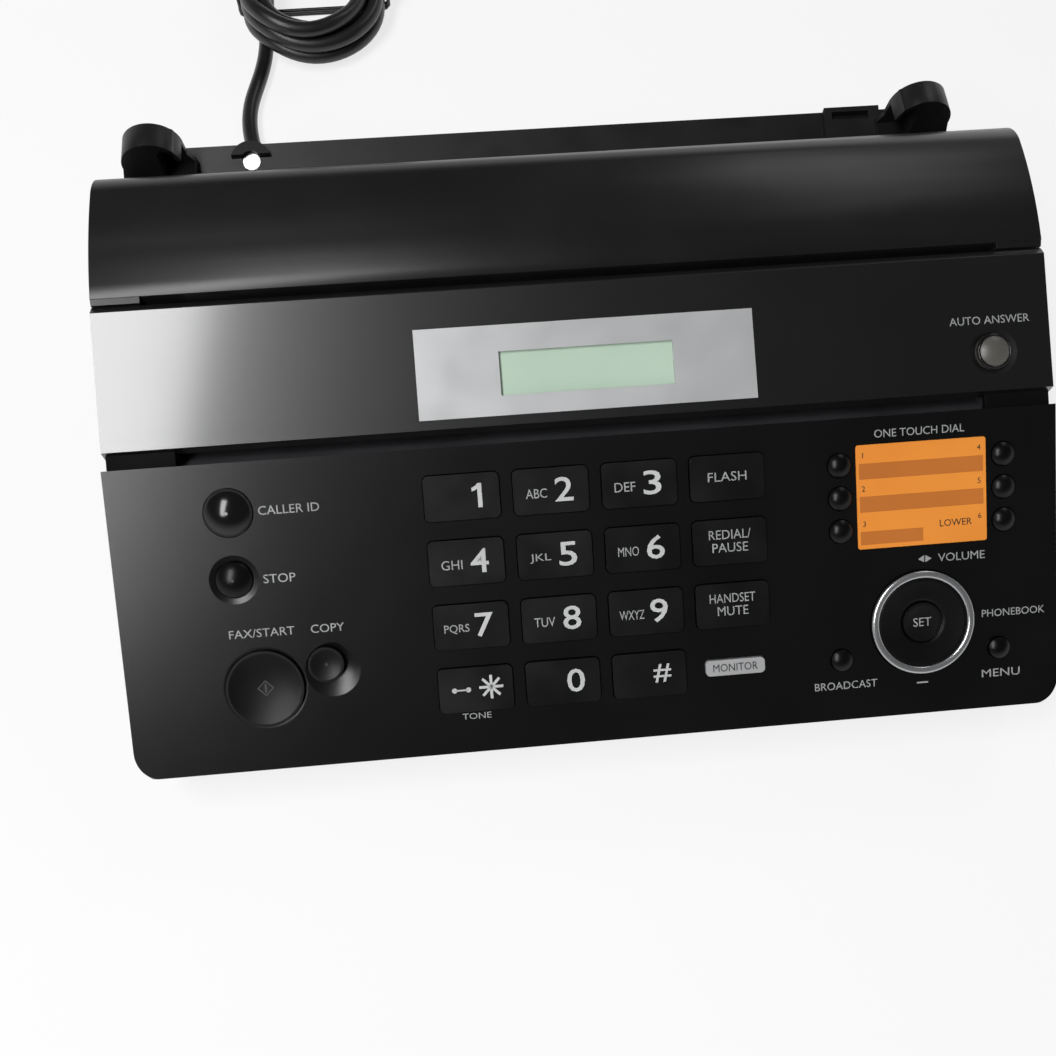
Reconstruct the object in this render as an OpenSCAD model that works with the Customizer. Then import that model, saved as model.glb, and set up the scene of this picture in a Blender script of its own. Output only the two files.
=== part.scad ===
// Compact thermal-paper fax machine. Millimetres; X to the right, Y to the back, Z up from the table.

/* [Body] */
// Width of the casing
body_w = 272; // [262:1:300]
// Depth of the casing, front edge to rear edge
body_d = 188.5; // [186:0.5:196]
// Height of the key panel's front edge
front_h = 30; // [29:0.5:32]
// Slope of the key panel in degrees
panel_slope = 30; // [29:0.5:31]
// Length of the key panel along its slope
panel_l = 89; // [87:0.5:91]
// Width of the document exit slot along the slope
slot_l = 5; // [4.6:0.1:5.6]
// Slope of the display panel in degrees
display_slope = 22.8; // [22:0.2:24]
// Length of the display panel along its slope
display_l = 38.6; // [38:0.2:40]
// Thickness of the moulded shells
wall = 2.5; // [2:0.1:3]
// Plan radius of the casing's corners
corner_r = 7; // [4:0.5:10]
// Depth of the shells' side skirts
skirt = 14; // [12:0.5:16]
// Height of the rubber feet
foot_h = 3; // [2:0.5:5]
// Diameter of a rubber foot
foot_d = 14; // [10:1:18]
// Parting gap between two shells
parting = 0.4; // [0.3:0.1:0.6]

/* [Top cover] */
// Width of the groove that the recording paper leaves by
groove = 1.8; // [1.6:0.1:2.4]
// Height of the cover's front edge over the display panel's rear edge
cover_step = 0.8; // [0.4:0.1:1.2]
// Length of the cover, front edge to rear lip
cover_l = 43.4; // [42.6:0.2:44.4]
// Rise of the cover's crest over its front edge
cover_rise = 4.6; // [4:0.2:6]
// Radius of the cover's rear edge, round its hinge
cover_round = 12; // [11.6:0.1:12.2]
// Diameter of the cover's hinge pins
hinge_pin_d = 5; // [4:0.5:6]

/* [Keys] */
// Width of a dial key
key_w = 21.4; // [20:0.2:23]
// Depth of a dial key
key_d = 13; // [12:0.2:14.5]
// Distance between the key columns
key_pitch_x = 25.3; // [25:0.1:28]
// Distance between the key rows
key_pitch_v = 18.6; // [18:0.1:19.4]
// How far a key stands above the panel
key_rise = 0.9; // [0.6:0.1:1.6]
// Travel of the keys
key_travel = 1.2; // [0.8:0.1:1.5]
// Side clearance of a key in its hole
key_clear = 0.3; // [0.2:0.05:0.5]
// Diameter of the start key
start_d = 22; // [20:0.5:24]
// Diameter of the caller list key
caller_d = 13.5; // [12:0.5:15]
// Diameter of the stop, copy and answer keys
small_d = 10.2; // [9:0.2:11]
// Diameter of the one-touch keys
touch_d = 6.8; // [6:0.2:8]
// Outer diameter of the navigator key
nav_d = 31; // [28:0.5:32]
// Diameter of the set key in the navigator's centre
set_d = 11.5; // [10:0.5:13]
// Width of the index card
card_w = 38.5; // [34:0.5:40]
// Depth of the index card
card_d = 30.4; // [28:0.2:31]

/* [Rollers and paper] */
// Width of the paper
paper_w = 216; // [210:1:216]
// Offset of the paper's centre line from the casing's
paper_x = -3.5; // [-4:0.5:-2]
// Radius of the rubber rollers
roller_r = 7; // [6.5:0.1:7.2]
// Diameter of the roller shafts
shaft_d = 6; // [5:0.5:6]
// Running clearance of a shaft in its bearing
bearing_clear = 0.05; // [0.03:0.01:0.08]
// Radius of the paper roll
roll_r = 17; // [14:0.5:17.5]
// Inner radius of the paper holder
holder_r = 20; // [19.5:0.1:20.2]
// Radius of the document path's lower guide bowl
bowl_r = 27; // [26.5:0.1:27.4]

/* [Gears] */
// Gear module
gear_m = 0.8; // [0.8:0.01:0.82]
// Teeth of the large reduction wheel
wheel_teeth = 50; // [48:1:51]
// Teeth of the motor pinion
pinion_teeth = 12; // [12:1:14]
// Face width of the gears
gear_t = 3.6; // [3:0.2:4]
// Backlash between two meshing gears
backlash = 0.16; // [0.12:0.02:0.24]

/* [Document tray] */
// Width of the tray
tray_w = 244; // [236:1:246]
// Height of the tray's rear edge
tray_h = 73.7; // [73:0.1:75]
// Forward slope of the tray in degrees
tray_slope = 20; // [18:0.5:21]
// Height of a document guide above the tray
guide_h = 16.8; // [16:0.2:18]
// Travel of each guide towards the middle
guide_travel = 44; // [30:1:48]

/* [Power cord] */
// Diameter of the cord
cord_d = 6; // [5:0.1:7]
// Diameter of the strain relief's sleeve
relief_d = 10; // [9:0.5:12]

/* [Hidden] */
$fn = 48;
eps = 0.01;

// ---- side profile, as (y, z) points ----
front_y = -body_d / 2;
rear_y = body_d / 2;
floor_z = foot_h + wall;
panel_dir = [cos(panel_slope), sin(panel_slope)];
display_dir = [cos(display_slope), sin(display_slope)];
panel_front = [front_y, front_h];
panel_top = panel_front + panel_l * panel_dir;
display_bottom = panel_top + slot_l * panel_dir;
display_crease = display_bottom + display_l * display_dir;
display_rear = display_crease + [2.3, -0.9];
cover_front = [display_rear[0] + groove, display_crease[1] + cover_step];
crest_l = 30.2;
crest = cover_front + [crest_l, cover_rise];
cover_rear_y = cover_front[0] + cover_l;
crown_r = (pow(crest_l, 2) + pow(cover_rise, 2)) / (2 * cover_rise);
crown = crest - [0, crown_r];
cover_corner_r = 4;
cover_w = body_w - 1.2;
inner_w = body_w - 2 * wall;

// ---- axes of the mechanism, as (y, z) points ----
hinge_y = cover_rear_y - cover_round;
hinge = [hinge_y, crown[1] + sqrt(pow(crown_r, 2) - pow(hinge_y - crown[0], 2)) - cover_round + 0.06];
platen = cover_front + [8.7, -13.1];
holder = cover_front + [27.2, -34.6];
roll_axis = holder - [0, holder_r - roll_r - 0.3];
exit_point = panel_top + [0.7, -4];
exit_far = norm(exit_point - holder);
exit_slope = asin(bowl_r / exit_far) + atan2(exit_point[1] - holder[1], holder[0] - exit_point[0]);
path_dir = [-cos(exit_slope), sin(exit_slope)];
path_up = [sin(exit_slope), cos(exit_slope)];
bowl_end = holder - bowl_r * path_up;
scan_point = bowl_end + 27.6 * path_dir;
feed = scan_point + (roller_r + 0.3) * path_up;
head_tilt = atan2(hinge[1] - platen[1], hinge[0] - platen[0]);
head_out = [-cos(head_tilt), -sin(head_tilt)];
head_up = [-sin(head_tilt), cos(head_tilt)];
head_face = platen + (roller_r + 0.3) * head_out;
head_pivot = head_face - 11 * head_up + 3.4 * head_out;
front_hinge = [front_y + 12.3, foot_h + 8];
case_front_y = front_y + 7.75;

// ---- gear train ----
roller_teeth = 20;
idler_teeth = 24;
pressure = 20;
addendum = 0.75;
dedendum = 1;
function pitch_r(n) = gear_m * n / 2;
function apex(a, b, ra, rb, side) =
  let (d = norm(b - a), u = (b - a) / d, h = (ra * ra - rb * rb + d * d) / (2 * d))
  a + h * u + side * sqrt(ra * ra - h * h) * [u[1], -u[0]];
roller_mesh = pitch_r(roller_teeth) + pitch_r(idler_teeth);
wheel_mesh = pitch_r(wheel_teeth) + pitch_r(pinion_teeth);
idler = apex(feed, platen, roller_mesh, roller_mesh, 1);
motor_axis = feed + [-22.1, -32.6];
reduction = apex(motor_axis, feed, wheel_mesh, roller_mesh, 1);
function heading(a, b) = atan2(b[1] - a[1], b[0] - a[0]);
function meshed(turn, way, na, nb) = way + 180 + 180 / nb - (turn - way) * na / nb;
feed_turn = 0;
idler_turn = meshed(feed_turn, heading(feed, idler), roller_teeth, idler_teeth);
platen_turn = meshed(idler_turn, heading(idler, platen), idler_teeth, roller_teeth);
small_turn = meshed(feed_turn, heading(feed, reduction), roller_teeth, idler_teeth);
wheel_turn = 0;
pinion_turn = meshed(wheel_turn, heading(reduction, motor_axis), wheel_teeth, pinion_teeth);

// ---- places across the width ----
plate_x = body_w / 2 - 19;
plate_t = 3;
ear_t = 3;
ear_x = plate_x - ear_t - 0.3;
gear_x = plate_x + plate_t + 1;
wheel_x = gear_x + gear_t + 0.5;
roller_x0 = paper_x - paper_w / 2 - 0.5;
roller_x1 = paper_x + paper_w / 2 + 0.5;
motor_r = 17.5;
motor_l = 20;
motor_shaft_r = 1.5;
axle_r = 2;
end_w = 13.4;
panel_lip = 8;
slot_lip = 3.6;

// ---- keys: node, x, place up the panel, form, width, depth ----
col_x = [for (i = [0:3]) -37.3 + i * key_pitch_x];
row_v = [for (i = [0:3]) -14.3 - i * key_pitch_v];
dial_names = ["key_1", "key_2", "key_3", "key_4", "key_5", "key_6", "key_7", "key_8", "key_9",
  "key_star", "key_0", "key_hash"];
side_names = ["flash_key", "redial_key", "mute_key"];
dial_keys = [for (i = [0:11]) [dial_names[i], col_x[i % 3], row_v[floor(i / 3)], "slab", key_w, key_d]];
side_keys = [for (i = [0:2]) [side_names[i], col_x[3], row_v[i], "slab", key_w, key_d]];
bar_key = [["monitor_key", col_x[3], row_v[3] + 0.2, "slab", 17.4, 4.6]];
nav_x = 95;
nav_v = -61.3;
stop_at = [-102.8, -33];
start_at = [-97, -64.8];
copy_at = [-79.3, -59.2];
round_keys = [
  ["caller_key", -102.6, -14, "dome", caller_d, 0],
  ["stop_key", stop_at[0], stop_at[1], "dome", small_d, 0],
  ["start_key", start_at[0], start_at[1], "dish", start_d, 0],
  ["copy_key", copy_at[0], copy_at[1], "dish", small_d, 0],
  ["broadcast_key", nav_x - 24.6, nav_v - 9.4, "dome", touch_d - 0.6, 0],
  ["menu_key", nav_x + 22.9, nav_v - 9.5, "dome", touch_d - 0.6, 0]];
panel_keys = concat(dial_keys, side_keys, bar_key, round_keys);
answer = ["answer_key", 118.4, 11.2, "dome", small_d, 0];
card_x = 95.8;
card_v = -23.2;
plate_at = [0.65, 15.45];
plate_w = 96.3;
plate_d = 25.5;
screen_at = [0.7, 14.5];
screen_w = 50.4;
screen_d = 13.4;
module_boss = [46, 14];
touch_x = card_w / 2 + 5;
touch_v = [for (i = [-1:1]) card_v + 9.6 * i + 0.2];
flange_w = 1.1;
flange_t = 1.3;
sheet_top = -wall - 0.3 - flange_t - key_travel - 0.4;
sheet_t = 1;
dome_h = 1;
board_t = 1.6;
board_top = sheet_top - dome_h - sheet_t;
board_x = [-119, 132];
board_v = [-80.6, -7.6];
boss_places = [[-113, -46], [-62, -12], [-62, -76], [58, -12], [56, -76], [128, -46]];

// ---- cord ----
relief_x = -97.5;
relief_z = 14;
cord_r = cord_d / 2;
route = [[relief_x, 112, relief_z], [relief_x, 113.5, relief_z], [-98, 118, 13.2],
  [-98.8, 122, 11.8], [-99.9, 127, 9.7],
  [-101.2, 132, 7.6], [-102.7, 137.5, 5.6], [-104.2, 143, 4.1], [-105.8, 148.5, 3.4], [-107.2, 154, 3.1],
  [-108.3, 159.5, 3.1], [-108.9, 165, 3.1], [-108.8, 171, 3.1], [-108.2, 177, 3.1], [-107, 182.5, 3.1],
  [-105.6, 187.5, 3.1], [-104.8, 191, 3.1], [-104.8, 193.5, 3.1]];
hank_w = 58;
hank_l = 118;
hank_h = 24.5;
hank_x = -82;
hank_y = 193.5;
plug_x = -104.4;

// ---- general shapes ----
function add(v, s) = [for (p = v) p + s];
function on_path(v) = [for (p = v) scan_point + p[0] * path_dir + p[1] * path_up];
function unit(a) = [cos(a), sin(a)];
function arc(c, r, a0, a1, n) = [for (i = [0:n]) c + r * unit(a0 + (a1 - a0) * i / n)];

// Prism of a side outline, w wide and centred on x
module prism(outline, w, x = 0) {
  translate([x - w / 2, 0, 0]) rotate([90, 0, 90]) linear_extrude(w) polygon(outline);
}

// Round bar along X
module rod(at, r, x0, x1) {
  translate([x0, at[0], at[1]]) rotate([0, 90, 0]) cylinder(r = r, h = x1 - x0);
}

// Rectangle with round corners, centred
module round_rect(w, d, r) {
  square([w - 2 * r, d], center = true);
  square([w, d - 2 * r], center = true);
  for (sx = [-1, 1]) for (sy = [-1, 1])
    translate([sx * (w / 2 - r), sy * (d / 2 - r)]) circle(r);
}

// Everything inside the casing's plan, whose corners are round
module in_plan(w, r) {
  intersection() {
    children();
    translate([0, 0, -5]) linear_extrude(130) round_rect(w, body_d, r);
  }
}

// Places its children on the key panel: X across, Y up the slope, Z out of the panel
module on_panel(x, v, h = 0) {
  translate([x, panel_top[0], panel_top[1]]) rotate([panel_slope, 0, 0]) translate([0, v, h]) children();
}

// The same on the display panel, from its lower edge
module on_display(x, s, h = 0) {
  translate([x, display_bottom[0], display_bottom[1]]) rotate([display_slope, 0, 0])
    translate([0, s, h]) children();
}

// The same on the document tray, from its rear edge
module on_tray(x, s, h = 0) {
  translate([x, rear_y, tray_h]) rotate([tray_slope, 0, 0]) translate([0, s, h]) children();
}

// Outline of a spur gear's tooth ring
function involute(r, rb) = tan(acos(min(1, rb / r))) * 180 / PI - acos(min(1, rb / r));
function half_tooth(n, r) = let (rp = pitch_r(n), rb = rp * cos(pressure))
  90 / n - backlash / 4 / rp * 180 / PI + involute(rp, rb) - involute(max(r, rb), rb);
function gear_outline(n, turn) =
  let (rp = pitch_r(n), root = rp - dedendum * gear_m, tip = rp + addendum * gear_m,
    rr = [root, max(rp * cos(pressure), root + 0.1), rp, (rp + tip) / 2, tip])
  [for (i = [0:n - 1]) for (k = [0:9])
    let (r = rr[k < 5 ? k : 9 - k], s = k < 5 ? -1 : 1, a = turn + 360 * i / n + s * half_tooth(n, r))
    r * unit(a)];
module gear(n, turn, at, x, t) {
  translate([0, at[0], at[1]]) prism(gear_outline(n, turn), t, x + t / 2);
}

// Tube swept along a route of points
function way(p, i) = let (a = p[max(i - 1, 0)], b = p[min(i + 1, len(p) - 1)]) (b - a) / norm(b - a);
function ring(c, t, r, sides, ref) = let (u = cross(t, ref) / norm(cross(t, ref)), w = cross(u, t))
  [for (k = [0:sides - 1]) c + r * (cos(360 * k / sides) * u + sin(360 * k / sides) * w)];
module tube(p, r, sides, ref) {
  n = len(p);
  polyhedron(
    points = [for (i = [0:n - 1]) each ring(p[i], way(p, i), r, sides, ref)],
    faces = concat(
      [[for (k = [0:sides - 1]) k]],
      [[for (k = [0:sides - 1]) n * sides - 1 - k]],
      [for (i = [0:n - 2]) for (k = [0:sides - 1])
        let (a = i * sides + k, b = i * sides + (k + 1) % sides)
        [a, a + sides, b + sides, b]]),
    convexity = 6);
}

// ---- document tray and guides: the left guide's rack runs above the pinion, the right one's below ----
tray_l = 14.4;
screw_x = -95;
screw_s = -5.5;
hump_d = 12.5;
guide_teeth = 10;
guide_r = pitch_r(guide_teeth);
rack_pitch = PI * gear_m;
rack_y = holder[0] + bowl_r + 2.3;
rack_t = 2.6;
rack_h = 4;
rack_tip = 0.45;
pinion_z = tray_h - 20;
pinion_axle_r = 1.5;
neck_w = 5;
fence = paper_w / 2;
neck_at = fence + 5.5;
guide_y0 = rack_y - 2;
guide_y1 = rack_y + rack_t + 3.7;
hump_y = guide_y1 + 0.5;
run_gap = 0.3;
hood_r = 9;
function tray_z(y) = tray_h - (rear_y - y) * tan(tray_slope);

// ---- casing ----
deck_top = [cover_rear_y + 1.6, panel_top[1] + 2.5];
deck_low = [rear_y, tray_h - 17.7];
case_back = rear_y - 4;
case_parting = -skirt - parting;
cover_side_low = cover_front + [hinge[0] - cover_front[0], 4.2];
deck_fall = (deck_top[1] - deck_low[1]) / (deck_low[0] - deck_top[0]);
deck_wall = wall / cos(atan(deck_fall));
rear_joint_z = deck_low[1] - 5;
function deck(y) = [y, deck_low[1] + deck_fall * (rear_y - y)];
deck_under = [0, -deck_wall];
deck_gap = [0, -deck_wall - 0.2];
chin = [skirt * tan(15), -skirt];
panel_low = panel_front + chin;
side_slope = (panel_top[1] - skirt - panel_low[1]) / (panel_top[0] - panel_low[0]);
case_side = [
  [case_front_y, foot_h], [case_back, foot_h], [rear_y, rear_joint_z],
  [rear_y - wall - 0.3, rear_joint_z], deck(rear_y - wall - 0.3) + deck_gap,
  deck(deck_top[0]) + deck_gap, [hinge[0], cover_side_low[1] + case_parting],
  cover_front + [0, case_parting], panel_top + [0, case_parting],
  [case_front_y, panel_low[1] + (case_front_y - panel_low[0]) * side_slope - parting]];
jack_y = [-70, -52, -34];
jack_z = 13;
post_places = [[-110, -72], [-110, -28], [50, -72], [50, -28]];
board_z = floor_z + 5.5;
speaker_at = [94, -50];
speaker_r = 24;
foot_places = [[-116, -74], [116, -74], [-116, 76], [116, 76]];
screw_y = [20, 72];
screw_places = [for (s = [-1, 1]) for (y = screw_y) [s * (plate_x - 11), y]];
bracket_x = 104;
arm_x = bracket_x - 4.3;

module bottom_case() {
  color("#151617") {
    difference() {
      in_plan(body_w, corner_r) prism(case_side, body_w);
      in_plan(inner_w, corner_r - wall)
        prism([[case_front_y + wall, floor_z], [case_back - wall, floor_z],
          [rear_y - wall, rear_joint_z], [rear_y - wall, 200], [case_front_y + wall, 200]], inner_w);
      rod(hinge, cover_round + 1.2, -body_w, body_w);
      // gaps for the front cover's hinge arms
      for (s = [-1, 1]) translate([s * arm_x - 2.6, case_front_y - 1, front_hinge[1] - 4])
        cube([5.2, wall + 2, 30]);
      for (y = jack_y) translate([-body_w / 2 - 1, y - 6, jack_z - 0.5]) cube([wall + 2, 12, 11]);
      translate([relief_x, rear_y - 10, relief_z]) rotate([-90, 0, 0]) cylinder(d = relief_d - 2.4, h = 20);
      for (i = [-4:4]) translate([speaker_at[0] - 16, speaker_at[1] + i * 4 - 0.9, foot_h - 1])
        cube([32, 1.8, wall + 2]);
      for (p = foot_places) translate([p[0], p[1], foot_h - 1]) cylinder(d = foot_d + 0.2, h = 2);
      for (p = screw_places) translate([p[0], p[1], foot_h - 1]) {
        cylinder(d = 2.7, h = 9);
        cylinder(d = 6.4, h = 2.2);
      }
    }
    // posts that carry the main board
    for (p = post_places) translate([p[0], p[1], floor_z - eps]) difference() {
      cylinder(d = 7, h = board_z - floor_z + eps);
      translate([0, 0, 1]) cylinder(d = 2.2, h = 9);
    }
    // front hinge brackets
    for (s = [-1, 1]) difference() {
      union() {
        translate([s * bracket_x - 2, front_hinge[0] - 4.2, floor_z - eps])
          cube([4, 9, front_hinge[1] - floor_z]);
        rod(front_hinge, 4.2, s * bracket_x - 2, s * bracket_x + 2);
      }
      rod(front_hinge, 2 + bearing_clear, s * bracket_x - 3, s * bracket_x + 3);
    }
    // rest ring under the speaker
    translate([speaker_at[0], speaker_at[1], floor_z - eps]) difference() {
      cylinder(r = speaker_r + 1.5, h = 3);
      translate([0, 0, -1]) cylinder(r = speaker_r + 0.2, h = 5);
    }
  }
}

// Outline of a key in plan, grown by g
module key_outline(k, g) {
  if (k[3] == "slab") round_rect(k[4] + 2 * g, k[5] + 2 * g, min(1.6, k[5] * 0.28) + g);
  else circle(d = k[4] + 2 * g);
}

// Spherical hollow of rim radius r and depth d, cut from a face at z = 0
module hollow(r, d) {
  ball = (r * r + d * d) / (2 * d);
  translate([0, 0, ball - d]) sphere(ball, $fn = 96);
}

module control_panel() {
  under = [0, -wall / cos(panel_slope)];
  color("#101112") difference() {
    union() {
      difference() {
        in_plan(body_w, corner_r)
          prism([panel_front, panel_top, panel_top + [0, -skirt], panel_low], body_w);
        in_plan(inner_w, corner_r - wall)
          prism([panel_front + [wall, wall * tan(panel_slope)] + under,
            panel_top + [-wall, -wall * tan(panel_slope)] + under, panel_top + [-wall, -40],
            panel_front + 2 * chin + [wall, 0]], inner_w);
        // the lip beside the slot is shorter than the side skirts
        translate([-inner_w / 2, panel_top[0] - wall - 1, panel_top[1] - 60])
          cube([inner_w, wall + 2, 60 - panel_lip]);
      }
      for (p = boss_places) on_panel(p[0], p[1], board_top) cylinder(d = 6, h = -board_top - wall + 0.2);
      // hinge arms at the front
      for (s = [-1, 1]) {
        arm = s * arm_x;
        prism([panel_front + [1, -4], panel_front + [9, -1], front_hinge + [3.4, 0.6],
          front_hinge + [-3.1, -1.8], panel_low + [1.2, 0.6]], 4, arm);
        rod(front_hinge, 4, arm - 2, arm + 2);
        rod(front_hinge, 2, s > 0 ? arm : arm - 6, s > 0 ? arm + 6 : arm);
      }
    }
    for (k = panel_keys) on_panel(k[1], k[2], -wall - 1) linear_extrude(wall + 3) key_outline(k, key_clear);
    on_panel(nav_x, nav_v, -wall - 1) cylinder(d = nav_d + 2 * key_clear, h = wall + 3);
    for (s = [-1, 1]) for (v = touch_v)
      on_panel(card_x + s * touch_x, v, -wall - 1) cylinder(d = touch_d + 2 * key_clear, h = wall + 3);
    on_panel(card_x, card_v, -0.9) linear_extrude(5) round_rect(card_w + 0.4, card_d + 0.4, 1);
    // finger dishes round the stop, copy and start keys
    on_panel(stop_at[0], stop_at[1]) hollow(7, 1);
    on_panel(copy_at[0] + 1.7, copy_at[1] - 1.8) hollow(7.9, 1.3);
    on_panel(start_at[0], start_at[1]) hollow(start_d / 2 + 0.9, 0.6);
    for (p = boss_places) on_panel(p[0], p[1], board_top - 1) cylinder(d = 2.2, h = 6);
  }
}

module display_panel() {
  under = [0, -wall / cos(display_slope)];
  color("#0d0e0f") difference() {
    union() {
      difference() {
        prism([display_bottom, display_crease, display_rear, display_rear + [0, -skirt + 0.9],
          display_bottom + [0, -skirt]], cover_w);
        prism([display_bottom + [wall, wall * tan(display_slope)] + under,
          display_crease + [-0.6, 0] + under, display_rear + [-wall, -wall],
          display_rear + [-wall, -30], display_bottom + [wall, -30]], inner_w);
        translate([-inner_w / 2, display_bottom[0] - 1, display_bottom[1] - slot_lip - 30])
          cube([inner_w, 5, 30]);
        translate([-inner_w / 2, display_rear[0] - 5, display_rear[1] - 34.5]) cube([inner_w, 6, 30]);
      }
      // bosses that hold the display module
      for (s = [-1, 1]) on_display(s * module_boss[0], module_boss[1], -wall - 5) cylinder(d = 5, h = 5.2);
    }
    on_display(screen_at[0], screen_at[1], -wall - 1) linear_extrude(wall + 3)
      square([screen_w, screen_d], center = true);
    on_display(answer[1], answer[2], -wall - 1) cylinder(d = answer[4] + 2 * key_clear, h = wall + 3);
    on_display(answer[1], answer[2]) hollow(7, 1);
    on_display(plate_at[0], plate_at[1], -0.5) linear_extrude(3)
      square([plate_w + 0.3, plate_d + 0.3], center = true);
    for (s = [-1, 1]) on_display(s * module_boss[0], module_boss[1], -wall - 6) cylinder(d = 2, h = 6);
  }
}

module silver_plate() {
  color("#b9bbbb") on_display(plate_at[0], plate_at[1], -0.5) linear_extrude(0.7) difference() {
    square([plate_w, plate_d], center = true);
    translate(screen_at - plate_at) square([screen_w - 1, screen_d - 1], center = true);
  }
}

module lcd_module() {
  color("#a9c6a4") {
    on_display(screen_at[0], screen_at[1], -wall - 0.1) linear_extrude(1.4)
      square([screen_w - 0.8, screen_d - 0.8], center = true);
    on_display(screen_at[0], screen_at[1], -wall - 1.9) linear_extrude(1.9) round_rect(84, 20, 1);
    difference() {
      on_display(0, 13, -wall - 5 - 1.6) linear_extrude(1.6) round_rect(104, 19, 1);
      for (s = [-1, 1]) on_display(s * module_boss[0], module_boss[1], -wall - 8) cylinder(d = 2.2, h = 6);
    }
    on_display(0.7, 13, -wall - 5.1) linear_extrude(3.3) round_rect(76, 16, 1);
  }
}

// Side section of the cover, d inside its outer line
module cover_section(d) {
  intersection() {
    translate(crown) circle(crown_r - d, $fn = 180);
    union() {
      translate([cover_front[0] + d, 0]) square([hinge[0] - cover_front[0] - d, 150]);
      translate([hinge[0] - 1, 0]) square([cover_round + 1 - d, hinge[1]]);
      translate(hinge) circle(cover_round - d, $fn = 96);
    }
  }
}

// A side section drawn in y and z, w wide and centred on x
module across(w, x = 0) {
  translate([x - w / 2, 0, 0]) rotate([90, 0, 90]) linear_extrude(w) children();
}

module top_cover() {
  lip_z = hinge[1] - 4;
  cavity_w = inner_w - 1.2;
  color("#121314") difference() {
    union() {
      // shell with cheeks round the hinge
      difference() {
        intersection() {
          across(cover_w) {
            intersection() {
              cover_section(0);
              union() {
                polygon([cover_front - [0, skirt], [hinge[0], cover_side_low[1] - skirt], [hinge[0], 150],
                  [cover_front[0], 150]]);
                translate([hinge[0] - 1, lip_z]) square([50, 50]);
                translate(hinge) circle(cover_round - 0.15, $fn = 96);
              }
            }
          }
          // rear corners, round in plan
          translate([0, cover_rear_y - 60]) linear_extrude(120) {
            translate([-cover_w / 2, 0]) square([cover_w, 60 - cover_corner_r]);
            translate([-cover_w / 2 + cover_corner_r, 0])
              square([cover_w - 2 * cover_corner_r, 60]);
            for (s = [-1, 1]) translate([s * (cover_w / 2 - cover_corner_r), 60 - cover_corner_r])
              circle(cover_corner_r);
          }
        }
        across(cavity_w) cover_section(wall);
        translate([-cavity_w / 2, cover_front[0] - 1, cover_front[1] - 46])
          cube([cavity_w, wall + 2, 40]);
        translate([-cavity_w / 2, cover_rear_y - wall - 1, lip_z - 40])
          cube([cavity_w, wall + 2, 40]);
      }
      // ends that close the paper's groove
      for (s = [-1, 1])
        prism([[display_rear[0] + parting, cover_front[1] - 6], display_rear + [parting, 0.5],
          cover_front + [0.3, 0], cover_front + [0.3, -6]], end_w, s * (cover_w - end_w) / 2);
      // ears that carry the platen and the hinge pins
      for (s = [-1, 1]) {
        ear = s * (ear_x + ear_t / 2);
        across(ear_t, ear) intersection() {
          polygon([cover_front + [wall, -1], cover_front + [wall, -6], platen + [-6, 0], platen + [-5, -4],
            platen + [6, -4], hinge + [-6, -6.5], hinge + [4.5, -4.5], hinge + [5, 14], crest]);
          cover_section(wall / 2);
        }
        rod(platen, 6, ear - ear_t / 2, ear + ear_t / 2);
        rod(hinge, hinge_pin_d / 2, s > 0 ? ear : ear - ear_t / 2 - plate_t - 0.8,
          s > 0 ? ear + ear_t / 2 + plate_t + 0.8 : ear);
      }
      // stiffening ribs across the inside
      for (i = [-3:3]) across(1.6, i * 32) intersection() {
        polygon([platen + [4, 13], hinge + [-3, 6], hinge + [-3, 20], platen + [4, 30]]);
        cover_section(wall / 2);
      }
    }
    rod(platen, shaft_d / 2 + bearing_clear, -body_w / 2 + 12, body_w / 2 - 12);
    // slots in the rear lip for the side plates
    for (s = [-1, 1]) translate([s * (plate_x + plate_t / 2) - plate_t / 2 - 0.5, hinge[0] + 6, lip_z - 1])
      cube([plate_t + 1, 20, 8]);
  }
}

module document_tray() {
  top_front = [rear_y - tray_l * cos(tray_slope), tray_h - tray_l * sin(tray_slope)];
  rear_joint = rear_joint_z + 0.2;
  cheek_t = tray_w / 2 - plate_x - plate_t - 0.2;
  shoulder_w = (body_w - tray_w) / 2 + cheek_t;
  color("#131415") difference() {
    union() {
      // sloping strip and its rear skirt
      prism([[rear_y, tray_h], [rear_y, tray_h - 3], [rear_y - wall, tray_h - 3 - wall * tan(tray_slope)],
        top_front - [0, wall], top_front], tray_w);
      prism([[rear_y, tray_h], [rear_y, rear_joint], [rear_y - wall, rear_joint],
        [rear_y - wall, tray_h - 2]], tray_w);
      // cheeks and sloping shoulders at both ends
      for (s = [-1, 1]) {
        prism([top_front, [rear_y, tray_h], deck_low, deck_low + deck_under, deck_top + deck_under,
          deck_top],
          cheek_t, s * (tray_w / 2 - cheek_t / 2));
        in_plan(body_w, corner_r)
          prism([deck_top, deck_low, [rear_y, rear_joint], [rear_y - wall, rear_joint],
            deck(rear_y - wall) + deck_under, deck_top + deck_under],
            shoulder_w, s * (body_w - shoulder_w) / 2);
      }
      // boss of the bright screw, with a hump at the rear edge
      intersection() {
        on_tray(screw_x, screw_s, -7) cylinder(d = hump_d, h = 10);
        prism([[rear_y - 16, tray_z(rear_y - 16) - 5], [rear_y + 2, tray_h - 6], [rear_y + 2, tray_h + 2],
          [hump_y, tray_z(hump_y) + 2], [hump_y, tray_z(hump_y) - 1],
          [rear_y - 16, tray_z(rear_y - 16) - 1]], tray_w);
      }
    }
    // slots that the document guides slide in
    for (s = [-1, 1]) guide_slot(s);
    on_tray(screw_x, screw_s, -9) cylinder(d = 2.6, h = 12);
    on_tray(screw_x, screw_s, -1.7) cylinder(d = 5.8, h = 6);
  }
}

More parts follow.
